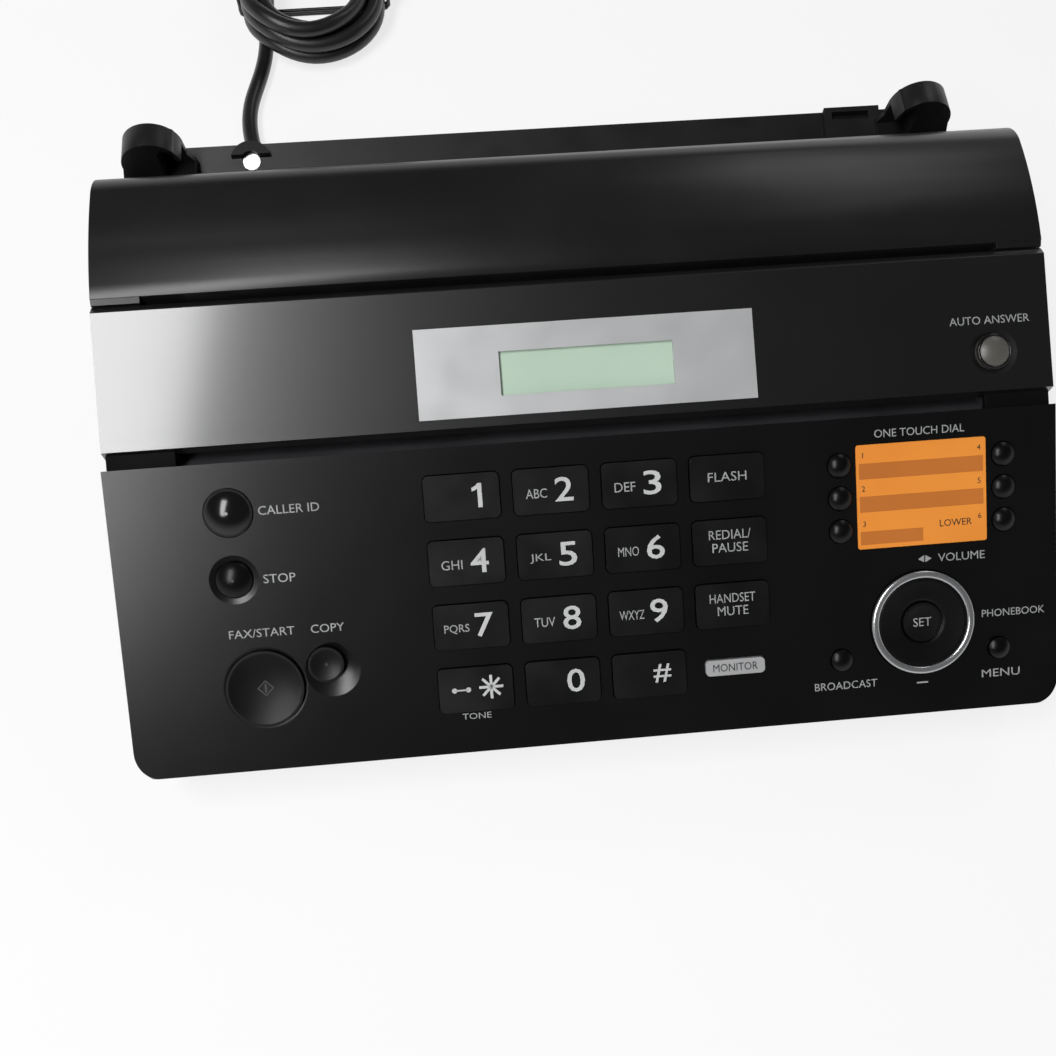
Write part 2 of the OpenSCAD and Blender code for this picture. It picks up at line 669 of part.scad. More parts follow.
// ---- document guides ----
module guide_slot(s) {
  far = neck_at + neck_w / 2 + 0.4;
  near = neck_at - neck_w / 2 - guide_travel - 0.4;
  translate([paper_x + (s > 0 ? near : -far), rack_y - 0.2, tray_h - 14])
    cube([far - near, rack_t + 0.4, 20]);
}

// Rack's outline in x and z, its teeth pointing down on the line z = 0
function rack_outline(x0, x1, far_x) = concat(
  [for (i = [floor(x0 / rack_pitch) : ceil(x1 / rack_pitch)])
    let (c = (i + 0.5) * rack_pitch, w = rack_pitch / 4 - 0.08, t = tan(pressure)) each
    [[c - w - gear_m * t, gear_m], [c - w + rack_tip * t, -rack_tip], [c + w - rack_tip * t, -rack_tip],
     [c + w + gear_m * t, gear_m]]],
  [[x1 + rack_pitch * 1.6, gear_m], [x1 + rack_pitch * 1.6, rack_h], [-far_x, rack_h], [-far_x, gear_m]]);

// Everything below the guides' running gap over the tray
module under_guides() {
  prism([[guide_y0 - 9, tray_z(guide_y0 - 9) + run_gap], [rear_y + 1, tray_z(rear_y + 1) + run_gap],
    [rear_y + 1, 0], [guide_y0 - 9, 0]], 400);
}

// Section drawn in x and z, from y0 to y1
module along(y0, y1) {
  translate([0, y1, 0]) rotate([90, 0, 0]) linear_extrude(y1 - y0) children();
}

// Guide as the left one stands, measured from the paper's centre line
module guide_body() {
  outer = fence + 23;
  hood = [-fence - 11.5, tray_h + guide_h - hood_r];
  neck_z = pinion_z + guide_r + rack_h - 1;
  difference() {
    union() {
      along(guide_y0, guide_y1) {
        translate(hood) circle(hood_r, $fn = 96);
        polygon([[-outer, tray_h - 14], [-outer, tray_h - 3.7], hood + [0.1 - hood_r, -0.6],
          hood + [2.5, hood_r - 0.5], hood + [7.2, hood_r - 3.2], [-fence - 2.6, tray_h + 9.3],
          [-fence - 2.2, tray_h + 4.3], [-fence, tray_h + 0.3], [-fence, tray_h - 14]]);
      }
      translate([-neck_at - neck_w / 2, rack_y, neck_z]) cube([neck_w, rack_t, tray_h + 0.4 - neck_z]);
    }
    // pocket that opens to the front and towards the paper
    along(guide_y0 - 3, guide_y1 - 1.6)
      polygon([[-fence - 9, tray_h + 0.8], [-fence - 9, hood[1] + 4.8], hood + [4.1, hood_r - 2.9],
        hood + [6.9, hood_r - 4.6], [-fence - 4.2, tray_h + 9.3], [-fence + 1, tray_h + 8.7],
        [-fence + 1, tray_h + 0.8]]);
    difference() {
      under_guides();
      translate([-neck_at - neck_w / 2, rack_y, 0]) cube([neck_w, rack_t, 100]);
    }
  }
}

module guide_left() {
  color("#161718") translate([paper_x, 0, 0]) {
    guide_body();
    translate([0, rack_y + rack_t, pinion_z + guide_r]) rotate([90, 0, 0]) linear_extrude(rack_t)
      polygon(rack_outline(-guide_travel - 4, 3, neck_at + neck_w / 2));
  }
}

module guide_right() {
  wing_l = 16;
  wing_y = rear_y - 0.35;
  color("#161718") translate([paper_x, 0, 0]) {
    mirror([1, 0, 0]) {
      guide_body();
      // longer neck down to the lower rack
      translate([-neck_at - neck_w / 2, rack_y, pinion_z - guide_r - rack_h]) cube([neck_w, rack_t, 24]);
      // flat wing for a finger, with a groove along its rear
      difference() {
        prism([[guide_y0, tray_z(guide_y0)], [wing_y, tray_z(wing_y)], [wing_y, tray_z(wing_y) + 2.6],
          [guide_y0, tray_z(guide_y0) + 2]], wing_l + 2, -fence - 2 + wing_l / 2 + 1);
        under_guides();
        translate([-fence + 1.5, wing_y - 3.6, tray_z(wing_y - 3.6) + 1.2]) cube([wing_l - 4, 2.2, 9]);
      }
    }
    translate([0, rack_y + rack_t, pinion_z - guide_r]) rotate([90, 0, 0]) linear_extrude(rack_t)
      rotate(180) polygon(rack_outline(-guide_travel - 4, 3, neck_at + neck_w / 2));
  }
}

module guide_pinion() {
  color("#d8d4c8") difference() {
    translate([paper_x, rack_y + rack_t, pinion_z]) rotate([90, 0, 0]) linear_extrude(rack_t)
      polygon(gear_outline(guide_teeth, 90));
    translate([paper_x, rear_y, pinion_z]) rotate([90, 0, 0])
      cylinder(r = pinion_axle_r + bearing_clear, h = 30);
  }
}

// ---- inside ----
module key_sheet() {
  color("#8f9296") on_panel(0, 0, sheet_top - dome_h - sheet_t) {
    difference() {
      translate([board_x[0], board_v[0], 0])
        cube([board_x[1] - board_x[0], board_v[1] - board_v[0], sheet_t]);
      for (p = boss_places) translate([p[0], p[1], -1]) cylinder(d = 7, h = sheet_t + 2);
    }
    domes = concat([for (k = panel_keys) [k[1], k[2], 6]], [[nav_x, nav_v, 6]],
      [for (a = [0:3]) [nav_x + 11 * cos(90 * a), nav_v + 11 * sin(90 * a), 6]],
      [for (s = [-1, 1]) for (v = touch_v) [card_x + s * touch_x, v, 5]]);
    for (p = domes) translate([p[0], p[1], sheet_t - eps]) cylinder(d1 = p[2], d2 = 4, h = dome_h + eps);
  }
}

module key_board() {
  color("#2e6b3a") on_panel(0, 0, sheet_top - dome_h - sheet_t - board_t) {
    difference() {
      translate([board_x[0], board_v[0], 0])
        cube([board_x[1] - board_x[0], board_v[1] - board_v[0], board_t]);
      for (p = boss_places) translate([p[0], p[1], -1]) cylinder(d = 2.4, h = board_t + 2);
    }
    translate([-12, -30, -3.5]) cube([24, 8, 3.6]);
    for (i = [0:3]) translate([-90 + i * 50, -60, -2.2]) cube([10, 8, 2.3]);
  }
}

// Key: cap in its hole, flange that holds it under the panel
module key_form(k) {
  top = key_rise;
  if (k[3] == "slab") {
    translate([0, 0, -wall - 0.5]) linear_extrude(wall + 0.5 + top) key_outline(k, 0);
  } else {
    difference() {
      union() {
        translate([0, 0, -wall - 0.5]) cylinder(d = k[4], h = wall + 0.5 + 0.2);
        if (k[3] == "dome") intersection() {
          translate([0, 0, -0.5]) cylinder(d = k[4], h = 6);
          translate([0, 0, top + 1.2 - k[4] * 0.8]) sphere(r = k[4] * 0.8, $fn = 96);
        }
        else translate([0, 0, -0.5]) cylinder(d = k[4], h = 0.5 + top + 0.6);
      }
      if (k[3] == "dish") translate([0, 0, top + 0.6]) hollow(k[4] / 2 - 0.7, k[4] * 0.06);
    }
  }
  translate([0, 0, -wall - 0.3 - flange_t]) linear_extrude(flange_t) key_outline(k, flange_w);
}

module key(k) {
  color(k[0] == "monitor_key" ? "#c4c6c6" : "#17181a") on_panel(k[1], k[2]) key_form(k);
}

module answer_key() {
  color("#8b857b") {
    on_display(answer[1], answer[2]) key_form(answer);
  }
}

module one_touch(s) {
  color("#141516") on_panel(card_x + s * touch_x, 0) {
    for (v = touch_v) translate([0, v]) {
      translate([0, 0, -wall - 0.5]) cylinder(d = touch_d, h = wall + 0.7);
      intersection() {
        translate([0, 0, -0.5]) cylinder(d = touch_d, h = 5);
        translate([0, 0, key_rise + 0.9 - touch_d * 0.7]) sphere(r = touch_d * 0.7, $fn = 96);
      }
    }
    translate([0, touch_v[1], -wall - 0.3 - flange_t]) linear_extrude(flange_t)
      round_rect(touch_d + 1.6, 19.2 + touch_d + 1.6, 2);
  }
}

module navigator_key() {
  color("#bfc1c2") on_panel(nav_x, nav_v) difference() {
    union() {
      translate([0, 0, -wall - 0.5]) cylinder(d = nav_d, h = wall + 0.5 + key_rise);
      translate([0, 0, -wall - 0.3 - flange_t]) cylinder(d = nav_d + 2 * flange_w, h = flange_t);
    }
    translate([0, 0, key_rise]) hollow(nav_d / 2 - 2.2, 1.5);
    translate([0, 0, -10]) cylinder(d = set_d + 2 * key_clear, h = 20);
    translate([0, 0, -wall - 1.5 - flange_t])
      cylinder(d = set_d + 2 * flange_w + 0.8, h = flange_t + 2.6);
  }
}

module set_key() {
  color("#101112") on_panel(nav_x, nav_v) {
    difference() {
      translate([0, 0, -wall - 0.5]) cylinder(d = set_d, h = wall + 0.5 + 0.4);
      translate([0, 0, 0.4]) hollow(set_d / 2 - 0.8, 0.5);
    }
    translate([0, 0, -wall - 0.5 - flange_t]) cylinder(d = set_d + 2 * flange_w, h = flange_t + 0.3);
  }
}

module directory_card() {
  color("#ff9a33") on_panel(card_x, card_v, -0.9) linear_extrude(0.7) round_rect(card_w, card_d, 0.8);
}

module main_board() {
  color("#2a6a38") {
    difference() {
      translate([-128, -76.5, board_z]) cube([184, 53, board_t]);
      for (p = post_places) translate([p[0], p[1], board_z - 1]) cylinder(d = 2.4, h = 4);
    }
    top = board_z + board_t;
    for (y = jack_y) difference() {
      translate([-body_w / 2 + 0.6, y - 5.6, jack_z - 0.3]) cube([17, 11.2, 10.6]);
      translate([-body_w / 2, y - 4.6, jack_z + 1]) cube([14, 9.2, 6.4]);
    }
    translate([-100, -50, top]) cube([30, 24, 15]);
    translate([-60, -48, top]) cube([20, 16, 12]);
    for (i = [0:3]) translate([-30 + 13 * i, -36, top]) cylinder(d = 10, h = i % 2 == 0 ? 16 : 12);
    translate([-40, -74, top]) cube([24, 24, 2]);
    translate([0, -72, top]) cube([14, 20, 2]);
    for (i = [0:2]) translate([28, -74 + 16 * i, top]) cube([5, 13, 6]);
  }
}

module speaker() {
  color("#3a3b3d") translate([speaker_at[0], speaker_at[1], floor_z]) difference() {
    union() {
      cylinder(r = speaker_r, h = 2);
      cylinder(r1 = speaker_r - 2, r2 = 13, h = 9);
      cylinder(r = 13, h = 15);
    }
    translate([0, 0, -1]) cylinder(r1 = speaker_r - 4, r2 = 8, h = 7);
  }
}

plate_rear = holder[0] + bowl_r + 1.8;
plate_outline = [[-22, floor_z], [plate_rear, floor_z], [plate_rear, tray_h - 9],
  [holder[0] + 20, holder[1] + 14], hinge + [6, -12], hinge + [5, 0.5], hinge + [-5, 0.5],
  hinge + [-6, -12], [cover_front[0] + 16, platen[1] - 6],
  [cover_front[0] + 2.5, platen[1] - 6], [cover_front[0] + 1, display_rear[1] - 7.4],
  [cover_front[0] - 6, display_rear[1] - 8.5], [6, display_bottom[1] + 1.4],
  exit_point + [3, 0.1], exit_point + [2, -6], [-22, 44]];
beam_y = 12.6;
beam_t = 2;
spring_x = [for (s = [-1, 1]) paper_x + s * 62];
spring_z = head_face[1] - 1;
module chassis() {
  color("#3c3e40") {
    difference() {
      union() {
        for (s = [-1, 1]) {
          prism(plate_outline, plate_t, s * (plate_x + plate_t / 2));
          intersection() {
            rod(hinge, 5.4, s > 0 ? plate_x : -plate_x - plate_t, s > 0 ? plate_x + plate_t : -plate_x);
            prism([[0, 0], [200, 0], [200, 200], [0, 200]], 300);
          }
          for (y = screw_y) translate([s * (plate_x - 7) - 7, y - 6, floor_z]) cube([14, 12, 3]);
        }
        // axles of the reduction wheel and of the idler
        rod(reduction, axle_r, plate_x + plate_t - eps, wheel_x + gear_t + 1);
        rod(idler, axle_r, plate_x + plate_t - eps, gear_x + gear_t + 1);
        // axle of the guides' pinion, behind the bowl
        translate([paper_x, rack_y - 2, pinion_z]) rotate([-90, 0, 0])
          cylinder(r = pinion_axle_r, h = rack_t + 2.5);
        // lower guide: bowl, straight rise to the exit slot, and the upright behind
        difference() {
          prism(concat([holder + [bowl_r, 8]], arc(holder, bowl_r, 0, -90 - exit_slope, 18),
            [exit_point], [exit_point - [0, 2 / cos(exit_slope)]],
            arc(holder, bowl_r + 2, -90 - exit_slope, 0, 18), [holder + [bowl_r + 2, 8]]),
            2 * plate_x + 2 * eps);
          prism(on_path([[9, 3], [-9, 3], [-9, -5], [9, -5]]), 2 * plate_x - 6);
        }
        // upper guide in front of the feed roller
        prism(on_path([[9.4, 4.8], [25, 4.4], [25, 6], [9.4, 6.6]]), 2 * plate_x + 2 * eps);
        // beam behind the head springs
        translate([-plate_x - eps, beam_y, spring_z - 6]) cube([2 * plate_x + 2 * eps, beam_t, 12]);
        for (x = spring_x) translate([x, beam_y + beam_t - eps, spring_z]) rotate([-90, 0, 0])
          cylinder(d = 3.6, h = 3);
      }
      rod(feed, shaft_d / 2 + bearing_clear, -body_w, body_w);
      rod(hinge, hinge_pin_d / 2 + bearing_clear, -body_w, body_w);
      rod(head_pivot, 2 + bearing_clear, -body_w, body_w);
      rod(motor_axis, 6, plate_x - 1, plate_x + plate_t + 1);
      rod([60, 20], 9, -body_w, body_w);
      for (p = screw_places) translate([p[0], p[1], floor_z - 1]) cylinder(d = 2.6, h = 6);
    }
  }
}

module paper_holder() {
  scoop = concat(arc(holder, holder_r, 180, 360, 24), arc(holder, holder_r + 2, 360, 180, 24));
  color("#2f3133") {
    prism(scoop, 2 * plate_x);
    for (x = [paper_x - paper_w / 2 - 2, paper_x + paper_w / 2 + 2])
      prism(concat(arc(holder, holder_r + 1, 180, 360, 24), [holder + [14, 5], holder + [-14, 5]]),
        2, x);
  }
}

module paper_roll() {
  color("#f2f0ea") difference() {
    rod(roll_axis, roll_r, paper_x - paper_w / 2, paper_x + paper_w / 2);
    rod(roll_axis, 6.5, -body_w, body_w);
  }
}

module platen_roller() {
  color("#26282a") {
    rod(platen, roller_r, roller_x0, roller_x1);
    rod(platen, shaft_d / 2, -ear_x - ear_t - 1, gear_x + gear_t);
    gear(roller_teeth, platen_turn, platen, gear_x, gear_t);
  }
}

module feed_roller() {
  color("#e9e9e6") {
    rod(feed, roller_r, roller_x0, roller_x1);
    rod(feed, shaft_d / 2, -plate_x - plate_t - 1, gear_x + gear_t);
    gear(roller_teeth, feed_turn, feed, gear_x, gear_t);
  }
}

module thermal_head() {
  head_w = roller_x1 - roller_x0;
  low = -11;
  function at(u, n) = head_face + u * head_up - n * head_out;
  color("#b4b6b8") {
    prism([at(-6, 0), at(6.4, 0), at(6.4, -1.5), at(-6, -1.5)], head_w, paper_x);
    prism([at(low, -2), at(-6, -1.5), at(6.8, -1.5), at(6.8, -4.6), at(-8, -4.6), at(low, -4.8)],
      head_w, paper_x);
    rod(head_pivot, 2, -plate_x - plate_t + 0.4, plate_x + plate_t - 0.4);
  }
}

module head_springs() {
  turns = 6;
  steps = 14;
  coil_r = 2.7;
  coil_l = 6.7;
  coil = [for (i = [0:turns * steps]) let (a = 360 * i / steps)
    [coil_r * cos(a), coil_l * i / turns / steps, coil_r * sin(a)]];
  color("#9a9c9e") for (x = spring_x)
    translate([x, beam_y + beam_t + 0.45, spring_z]) tube(coil, 0.4, 6, [0, 1, 0]);
}

module image_sensor() {
  color("#1d1f22") {
    prism(on_path([[8, -0.1], [-8, -0.1], [-8, -9.1], [-5, -13.1], [5, -13.1], [8, -9.1]]),
      2 * plate_x - 7);
    for (s = [-1, 1]) prism(on_path([[3, -4], [-3, -4], [-3, -9], [3, -9]]), 3.6, s * (plate_x - 1.8));
  }
}

module motor() {
  color("#8d9093") {
    rod(motor_axis, motor_r, plate_x - motor_l, plate_x - 1);
    prism(concat(arc(motor_axis + [-21, 0], 4, 90, 270, 8), arc(motor_axis + [21, 0], 4, 270, 450, 8)),
      1, plate_x - 0.5);
    rod(motor_axis, 5, plate_x - 1, plate_x + plate_t);
    rod(motor_axis, motor_shaft_r, plate_x, wheel_x + gear_t + 0.6);
  }
}

module motor_pinion() {
  color("#c9a24a") difference() {
    gear(pinion_teeth, pinion_turn, motor_axis, wheel_x, gear_t);
    rod(motor_axis, motor_shaft_r + bearing_clear, -body_w, body_w);
  }
}

module reduction_gear() {
  color("#e6e1d3") difference() {
    union() {
      gear(wheel_teeth, wheel_turn, reduction, wheel_x, gear_t);
      gear(idler_teeth, small_turn, reduction, gear_x, gear_t);
      rod(reduction, 5, gear_x, wheel_x + 0.2);
    }
    rod(reduction, axle_r + bearing_clear, -body_w, body_w);
    for (i = [0:4]) rod(reduction + 13.6 * unit(72 * i), 3.2, wheel_x - 1, wheel_x + gear_t + 1);
  }
}

module idler_gear() {
  color("#e6e1d3") difference() {
    gear(idler_teeth, idler_turn, idler, gear_x, gear_t);
    rod(idler, axle_r + bearing_clear, -body_w, body_w);
  }
}

module case_screws() {
  color("#9b9da0") {
    for (p = screw_places) translate([p[0], p[1], foot_h - 0.8]) {
      cylinder(d = 6, h = 1.9);
      cylinder(d = 2.5, h = 8);
    }
    on_tray(screw_x, screw_s, -1.6) {
      cylinder(d = 5.4, h = 1.5);
      translate([0, 0, -6]) cylinder(d = 2.5, h = 6.2);
    }
  }
}

module feet() {
  color("#1b1b1b") for (p = foot_places) translate([p[0], p[1], 0]) {
    cylinder(d1 = foot_d - 2, d2 = foot_d, h = 1);
    translate([0, 0, 1]) cylinder(d = foot_d, h = foot_h);
  }
}

module strain_relief() {
  face = case_back + (relief_z - foot_h) / (deck_low[1] - 5 - foot_h) * 4;
  color("#101010") translate([relief_x, 0, relief_z]) rotate([-90, 0, 0]) {
    translate([0, 0, face - wall - 3]) cylinder(d = relief_d, h = 2.4);
    translate([0, 0, face - wall - 1]) cylinder(d = relief_d - 2.8, h = wall + 3);
    translate([0, 0, face + 0.9]) cylinder(d = relief_d, h = 2);
    translate([0, 0, face + 2.8])
      cylinder(d1 = relief_d - 1, d2 = cord_d + 1.4, h = route[0][1] - face - 2.8);
  }
}

module power_cord() {
  color("#0f0f10") tube(route, cord_r, 10, [0, 0.02, 1]);
}

module cord_hank() {
  color("#0f0f10") translate([hank_x, hank_y + hank_l / 2, 0.2]) linear_extrude(hank_h)
    round_rect(hank_w, hank_l, 4);
}

module plug() {
  color("#0f0f10") translate([plug_x, hank_y + hank_l, 8]) {
    rotate([-90, 0, 0]) cylinder(d = cord_d + 1.4, h = 13);
    translate([0, 11.5, 0]) rotate([-90, 0, 0]) linear_extrude(23) round_rect(24, 15, 4);
    for (s = [-1, 1]) translate([s * 6.35 - 0.8, 33.5, -3.1]) cube([1.6, 19, 6.2]);
  }
}

bottom_case();
control_panel();
display_panel();
silver_plate();
top_cover();
document_tray();
lcd_module();
key_sheet();
key_board();
main_board();
speaker();
chassis();
paper_holder();
paper_roll();
platen_roller();
thermal_head();
head_springs();
feed_roller();
image_sensor();
motor();
motor_pinion();
reduction_gear();
idler_gear();
guide_left();
guide_right();
guide_pinion();
case_screws();
feet();
directory_card();
strain_relief();
power_cord();
cord_hank();
plug();
for (k = panel_keys) key(k);
answer_key();
one_touch(-1);  // one_touch_left
one_touch(1);  // one_touch_right
navigator_key();
set_key();
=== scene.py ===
"""Looks of a compact thermal fax machine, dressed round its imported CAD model."""
import bpy
import bmesh
import math
import numpy as np
from mathutils import Euler, Matrix, Quaternion, Vector


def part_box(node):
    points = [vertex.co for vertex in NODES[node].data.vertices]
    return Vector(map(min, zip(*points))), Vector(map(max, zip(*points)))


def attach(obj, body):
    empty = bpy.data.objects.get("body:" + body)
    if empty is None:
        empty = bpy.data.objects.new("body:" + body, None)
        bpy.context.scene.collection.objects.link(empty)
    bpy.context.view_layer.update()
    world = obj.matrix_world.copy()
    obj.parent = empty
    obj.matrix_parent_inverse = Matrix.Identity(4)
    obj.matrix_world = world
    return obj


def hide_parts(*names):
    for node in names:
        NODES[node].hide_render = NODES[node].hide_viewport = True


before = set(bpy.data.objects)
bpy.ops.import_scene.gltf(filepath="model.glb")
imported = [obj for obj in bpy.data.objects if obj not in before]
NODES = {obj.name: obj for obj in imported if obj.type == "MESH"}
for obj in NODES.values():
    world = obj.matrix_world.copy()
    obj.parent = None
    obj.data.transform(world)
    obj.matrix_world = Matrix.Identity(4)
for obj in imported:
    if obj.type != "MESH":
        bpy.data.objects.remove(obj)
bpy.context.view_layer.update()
MM = 0.001

# ---------------------------------------------------------------- camera
# Hand-held view from above the key panel, 0.4 m away, with the machine turned a few degrees to the left.
# The lens is a little longer than a normal one.
camera_data = bpy.data.cameras.new("camera")
camera_data.lens = 39.334
camera_data.sensor_width = 36
camera_data.clip_start = 0.01
camera = bpy.data.objects.new("camera", camera_data)
camera.location = (-0.03824, -0.16295, 0.36546)
camera.rotation_euler = Euler([math.radians(a) for a in (22.5066, -1.4224, -5.2867)])
bpy.context.scene.collection.objects.link(camera)
bpy.context.scene.camera = camera

# ---------------------------------------------------------------- studio
# White table in a white room with a dim ceiling. A long soft box hangs overhead at the left and lights the
# glossy panels' left ends, and a weak one hangs behind at the right.
scene = bpy.context.scene
scene.view_settings.view_transform = "Standard"


def wire(tree, out_node, out, in_node, into):
    tree.links.new(out_node.outputs[out], in_node.inputs[into])


def seen_rays(tree):
    """Two nodes: 1 for camera and transmitted rays, and 1 for glossy rays as well, else 0."""
    path = tree.nodes.new("ShaderNodeLightPath")
    first = tree.nodes.new("ShaderNodeMath")
    first.operation = "MAXIMUM"
    second = tree.nodes.new("ShaderNodeMath")
    second.operation = "MAXIMUM"
    wire(tree, path, "Is Camera Ray", first, 0)
    wire(tree, path, "Is Transmission Ray", first, 1)
    wire(tree, first, 0, second, 0)
    wire(tree, path, "Is Glossy Ray", second, 1)
    return first, second


WHITE = (1, 1, 1, 1)
world = bpy.data.worlds.new("studio")
scene.world = world
world.use_nodes = True
tree = world.node_tree
tree.nodes.clear()
through, _ = seen_rays(tree)
place = tree.nodes.new("ShaderNodeTexCoord")
axes = tree.nodes.new("ShaderNodeSeparateXYZ")
wire(tree, place, "Generated", axes, 0)
room = tree.nodes.new("ShaderNodeValToRGB")
wall, ceiling = room.color_ramp.elements
wall.position, wall.color = 0.0, WHITE
ceiling.position, ceiling.color = 0.40, (0.07, 0.07, 0.074, 1)
wire(tree, axes, "Z", room, 0)
pick = tree.nodes.new("ShaderNodeMix")
pick.data_type = "RGBA"
wire(tree, through, 0, pick, 0)
wire(tree, room, 0, pick, 6)
pick.inputs[7].default_value = WHITE
glow = tree.nodes.new("ShaderNodeBackground")
wire(tree, pick, 2, glow, 0)
out = tree.nodes.new("ShaderNodeOutputWorld")
wire(tree, glow, 0, out, 0)

floor_mat = bpy.data.materials.new("table_white")
floor_mat.use_nodes = True
tree = floor_mat.node_tree
tree.nodes.clear()
_, seen = seen_rays(tree)
share = tree.nodes.new("ShaderNodeMath")
share.operation = "MULTIPLY"
share.inputs[1].default_value = 0.72
wire(tree, seen, 0, share, 0)
matt = tree.nodes.new("ShaderNodeBsdfDiffuse")
matt.inputs[0].default_value = (0.86, 0.86, 0.86, 1)
bright = tree.nodes.new("ShaderNodeEmission")
bright.inputs[1].default_value = 1.06
mixed = tree.nodes.new("ShaderNodeMixShader")
wire(tree, share, 0, mixed, 0)
wire(tree, matt, 0, mixed, 1)
wire(tree, bright, 0, mixed, 2)
out = tree.nodes.new("ShaderNodeOutputMaterial")
wire(tree, mixed, 0, out, 0)
bpy.ops.mesh.primitive_plane_add(size=8)
floor = bpy.context.object
floor.name = "table"
floor.data.materials.append(floor_mat)


def soft_box(name, place, target, size, power, turn=0):
    """Rectangular lamp that faces a target, in metres and watts, turned about its own line of sight."""
    lamp = bpy.data.lights.new(name, "AREA")
    lamp.shape = "RECTANGLE"
    lamp.size, lamp.size_y = size
    lamp.energy = power
    holder = bpy.data.objects.new(name, lamp)
    holder.location = place
    facing = (Vector(target) - Vector(place)).to_track_quat("-Z", "Y")
    holder.rotation_euler = (facing @ Quaternion((0, 0, 1), math.radians(turn))).to_euler()
    scene.collection.objects.link(holder)


soft_box("main_light", (-0.63, -0.51, 1.30), (-0.63, -0.50, 0), (0.36, 1.30), 20, turn=-18)
soft_box("side_light", (0.85, 1.05, 1.25), (0.05, 0, 0), (0.60, 0.60), 2.5)

# ---------------------------------------------------------------- power cord
# Round two-core mains lead in black PVC, 6 mm across and 1.54 m long. It leaves the rear through a
# ribbed sleeve, falls to the table and is folded into a hank that a wire tie holds.
CORD_D = 6.0
EXIT_X, EXIT_Z = -97.5, 14
CORD_SLEEVE = [(EXIT_X, 91, EXIT_Z), (EXIT_X, 101, EXIT_Z), (EXIT_X, 111, 13.9)]
CORD_ROUTE = CORD_SLEEVE + [
    (-98.6, 121, 12.2), (-101.2, 132, 7.6), (-104.2, 143, 4.0), (-107.2, 154, 3.1), (-108.9, 165, 3.1),
    (-108.2, 177, 3.1), (-105.4, 188, 3.1), (-103, 199, 3.1), (-102.1, 210, 3.1)]
HANK_X, HANK_Y, HANK_L = -82.0, 193.5, 118.0
HANK_LAPS = [(20, 3.1), (20, 9.2), (20, 15.3), (26, 18.4), (26, 12.2), (26, 6.1)]


def ease(f):
    """Smooth rise from 0 to 1 that starts and ends level."""
    f = min(1, max(0, f))
    return f * f * f * (10 - 15 * f + 6 * f * f)


def smooth_line(points, step):
    """Natural cubic spline through the points, cut into equal steps."""
    p = np.array(points, float)
    n = len(p)
    t = np.r_[0, np.cumsum(np.linalg.norm(np.diff(p, axis=0), axis=1))]
    h = np.diff(t)
    left, right = np.eye(n), np.zeros((n, 3))
    for i in range(1, n - 1):
        left[i, i - 1:i + 2] = h[i - 1], 2 * (h[i - 1] + h[i]), h[i]
        right[i] = 6 * ((p[i + 1] - p[i]) / h[i] - (p[i] - p[i - 1]) / h[i - 1])
    m = np.linalg.solve(left, right)
    line = []
    for q in np.linspace(0, t[-1], int(round(t[-1] / step)) + 1):
        i = min(int(np.searchsorted(t, q, side="right")) - 1, n - 2)
        a, b = (t[i + 1] - q) / h[i], (q - t[i]) / h[i]
        bend = ((a**3 - a) * m[i] + (b**3 - b) * m[i + 1]) * h[i] ** 2 / 6
        line.append(a * p[i] + b * p[i + 1] + bend)
    return np.array(line)


def hank_points():
    """Three laps of the inner oval, from the table up, then three of the outer one, back down."""
    outer = max(r for r, _ in HANK_LAPS) + CORD_D / 2
    near, far = HANK_Y + outer, HANK_Y + HANK_L - outer
    points = []
    for k, (r, z) in enumerate(HANK_LAPS):
        points += [(HANK_X - r, y, z) for y in np.linspace(near + (14 if k == 0 else 10), far - 8, 4)]
        if k == len(HANK_LAPS) - 1:
            points += [(HANK_X - r + d / 10, far - 8 + d, z + d / 20) for d in (12, 24, 36)]
            break
        r2, z2 = HANK_LAPS[k + 1]
        zr = z2 if k >= 3 else z
        for a in np.linspace(180, 0, 9):
            turn = math.radians(a)
            points.append((HANK_X + r * math.cos(turn), far + r * math.sin(turn),
                           z + (zr - z) * ease(1 - a / 180)))
        points += [(HANK_X + r, y, zr) for y in np.linspace(far - 8, near + 8, 4)]
        for f in np.linspace(0, 1, 11):
            turn = math.pi * f
            wide = r + (r2 - r) * (ease(f / 0.8) if k == 2 else 0)
            high = zr + (z2 - zr) * ease(f / (0.5 if k == 2 else 0.7))
            hump = 3.1 * math.exp(-(((f - 0.75) / 0.17) ** 2)) if k >= 2 else 0
            points.append((HANK_X + wide * math.cos(turn), near - wide * math.sin(turn), high + hump))
    return points


CORD_LINE = smooth_line(CORD_ROUTE + hank_points(), 3.0)


def place_mesh(name, bm, material, smooth=True):
    """New object from a bmesh, with faces turned outward."""
    mesh = bpy.data.meshes.new(name)
    bmesh.ops.recalc_face_normals(bm, faces=bm.faces)
    bm.to_mesh(mesh)
    bm.free()
    piece = bpy.data.objects.new(name, mesh)
    scene.collection.objects.link(piece)
    mesh.materials.append(material)
    if smooth:
        for face in mesh.polygons:
            face.use_smooth = True
    return piece


def join_rings(bm, rings, loop=False):
    """Quads between neighbouring rings of points, and back to the first one for a loop."""
    sides = len(rings[0])
    for one, two in zip(rings, rings[1:] + rings[:1] if loop else rings[1:]):
        for k in range(sides):
            bm.faces.new((one[k], one[(k + 1) % sides], two[(k + 1) % sides], two[k]))


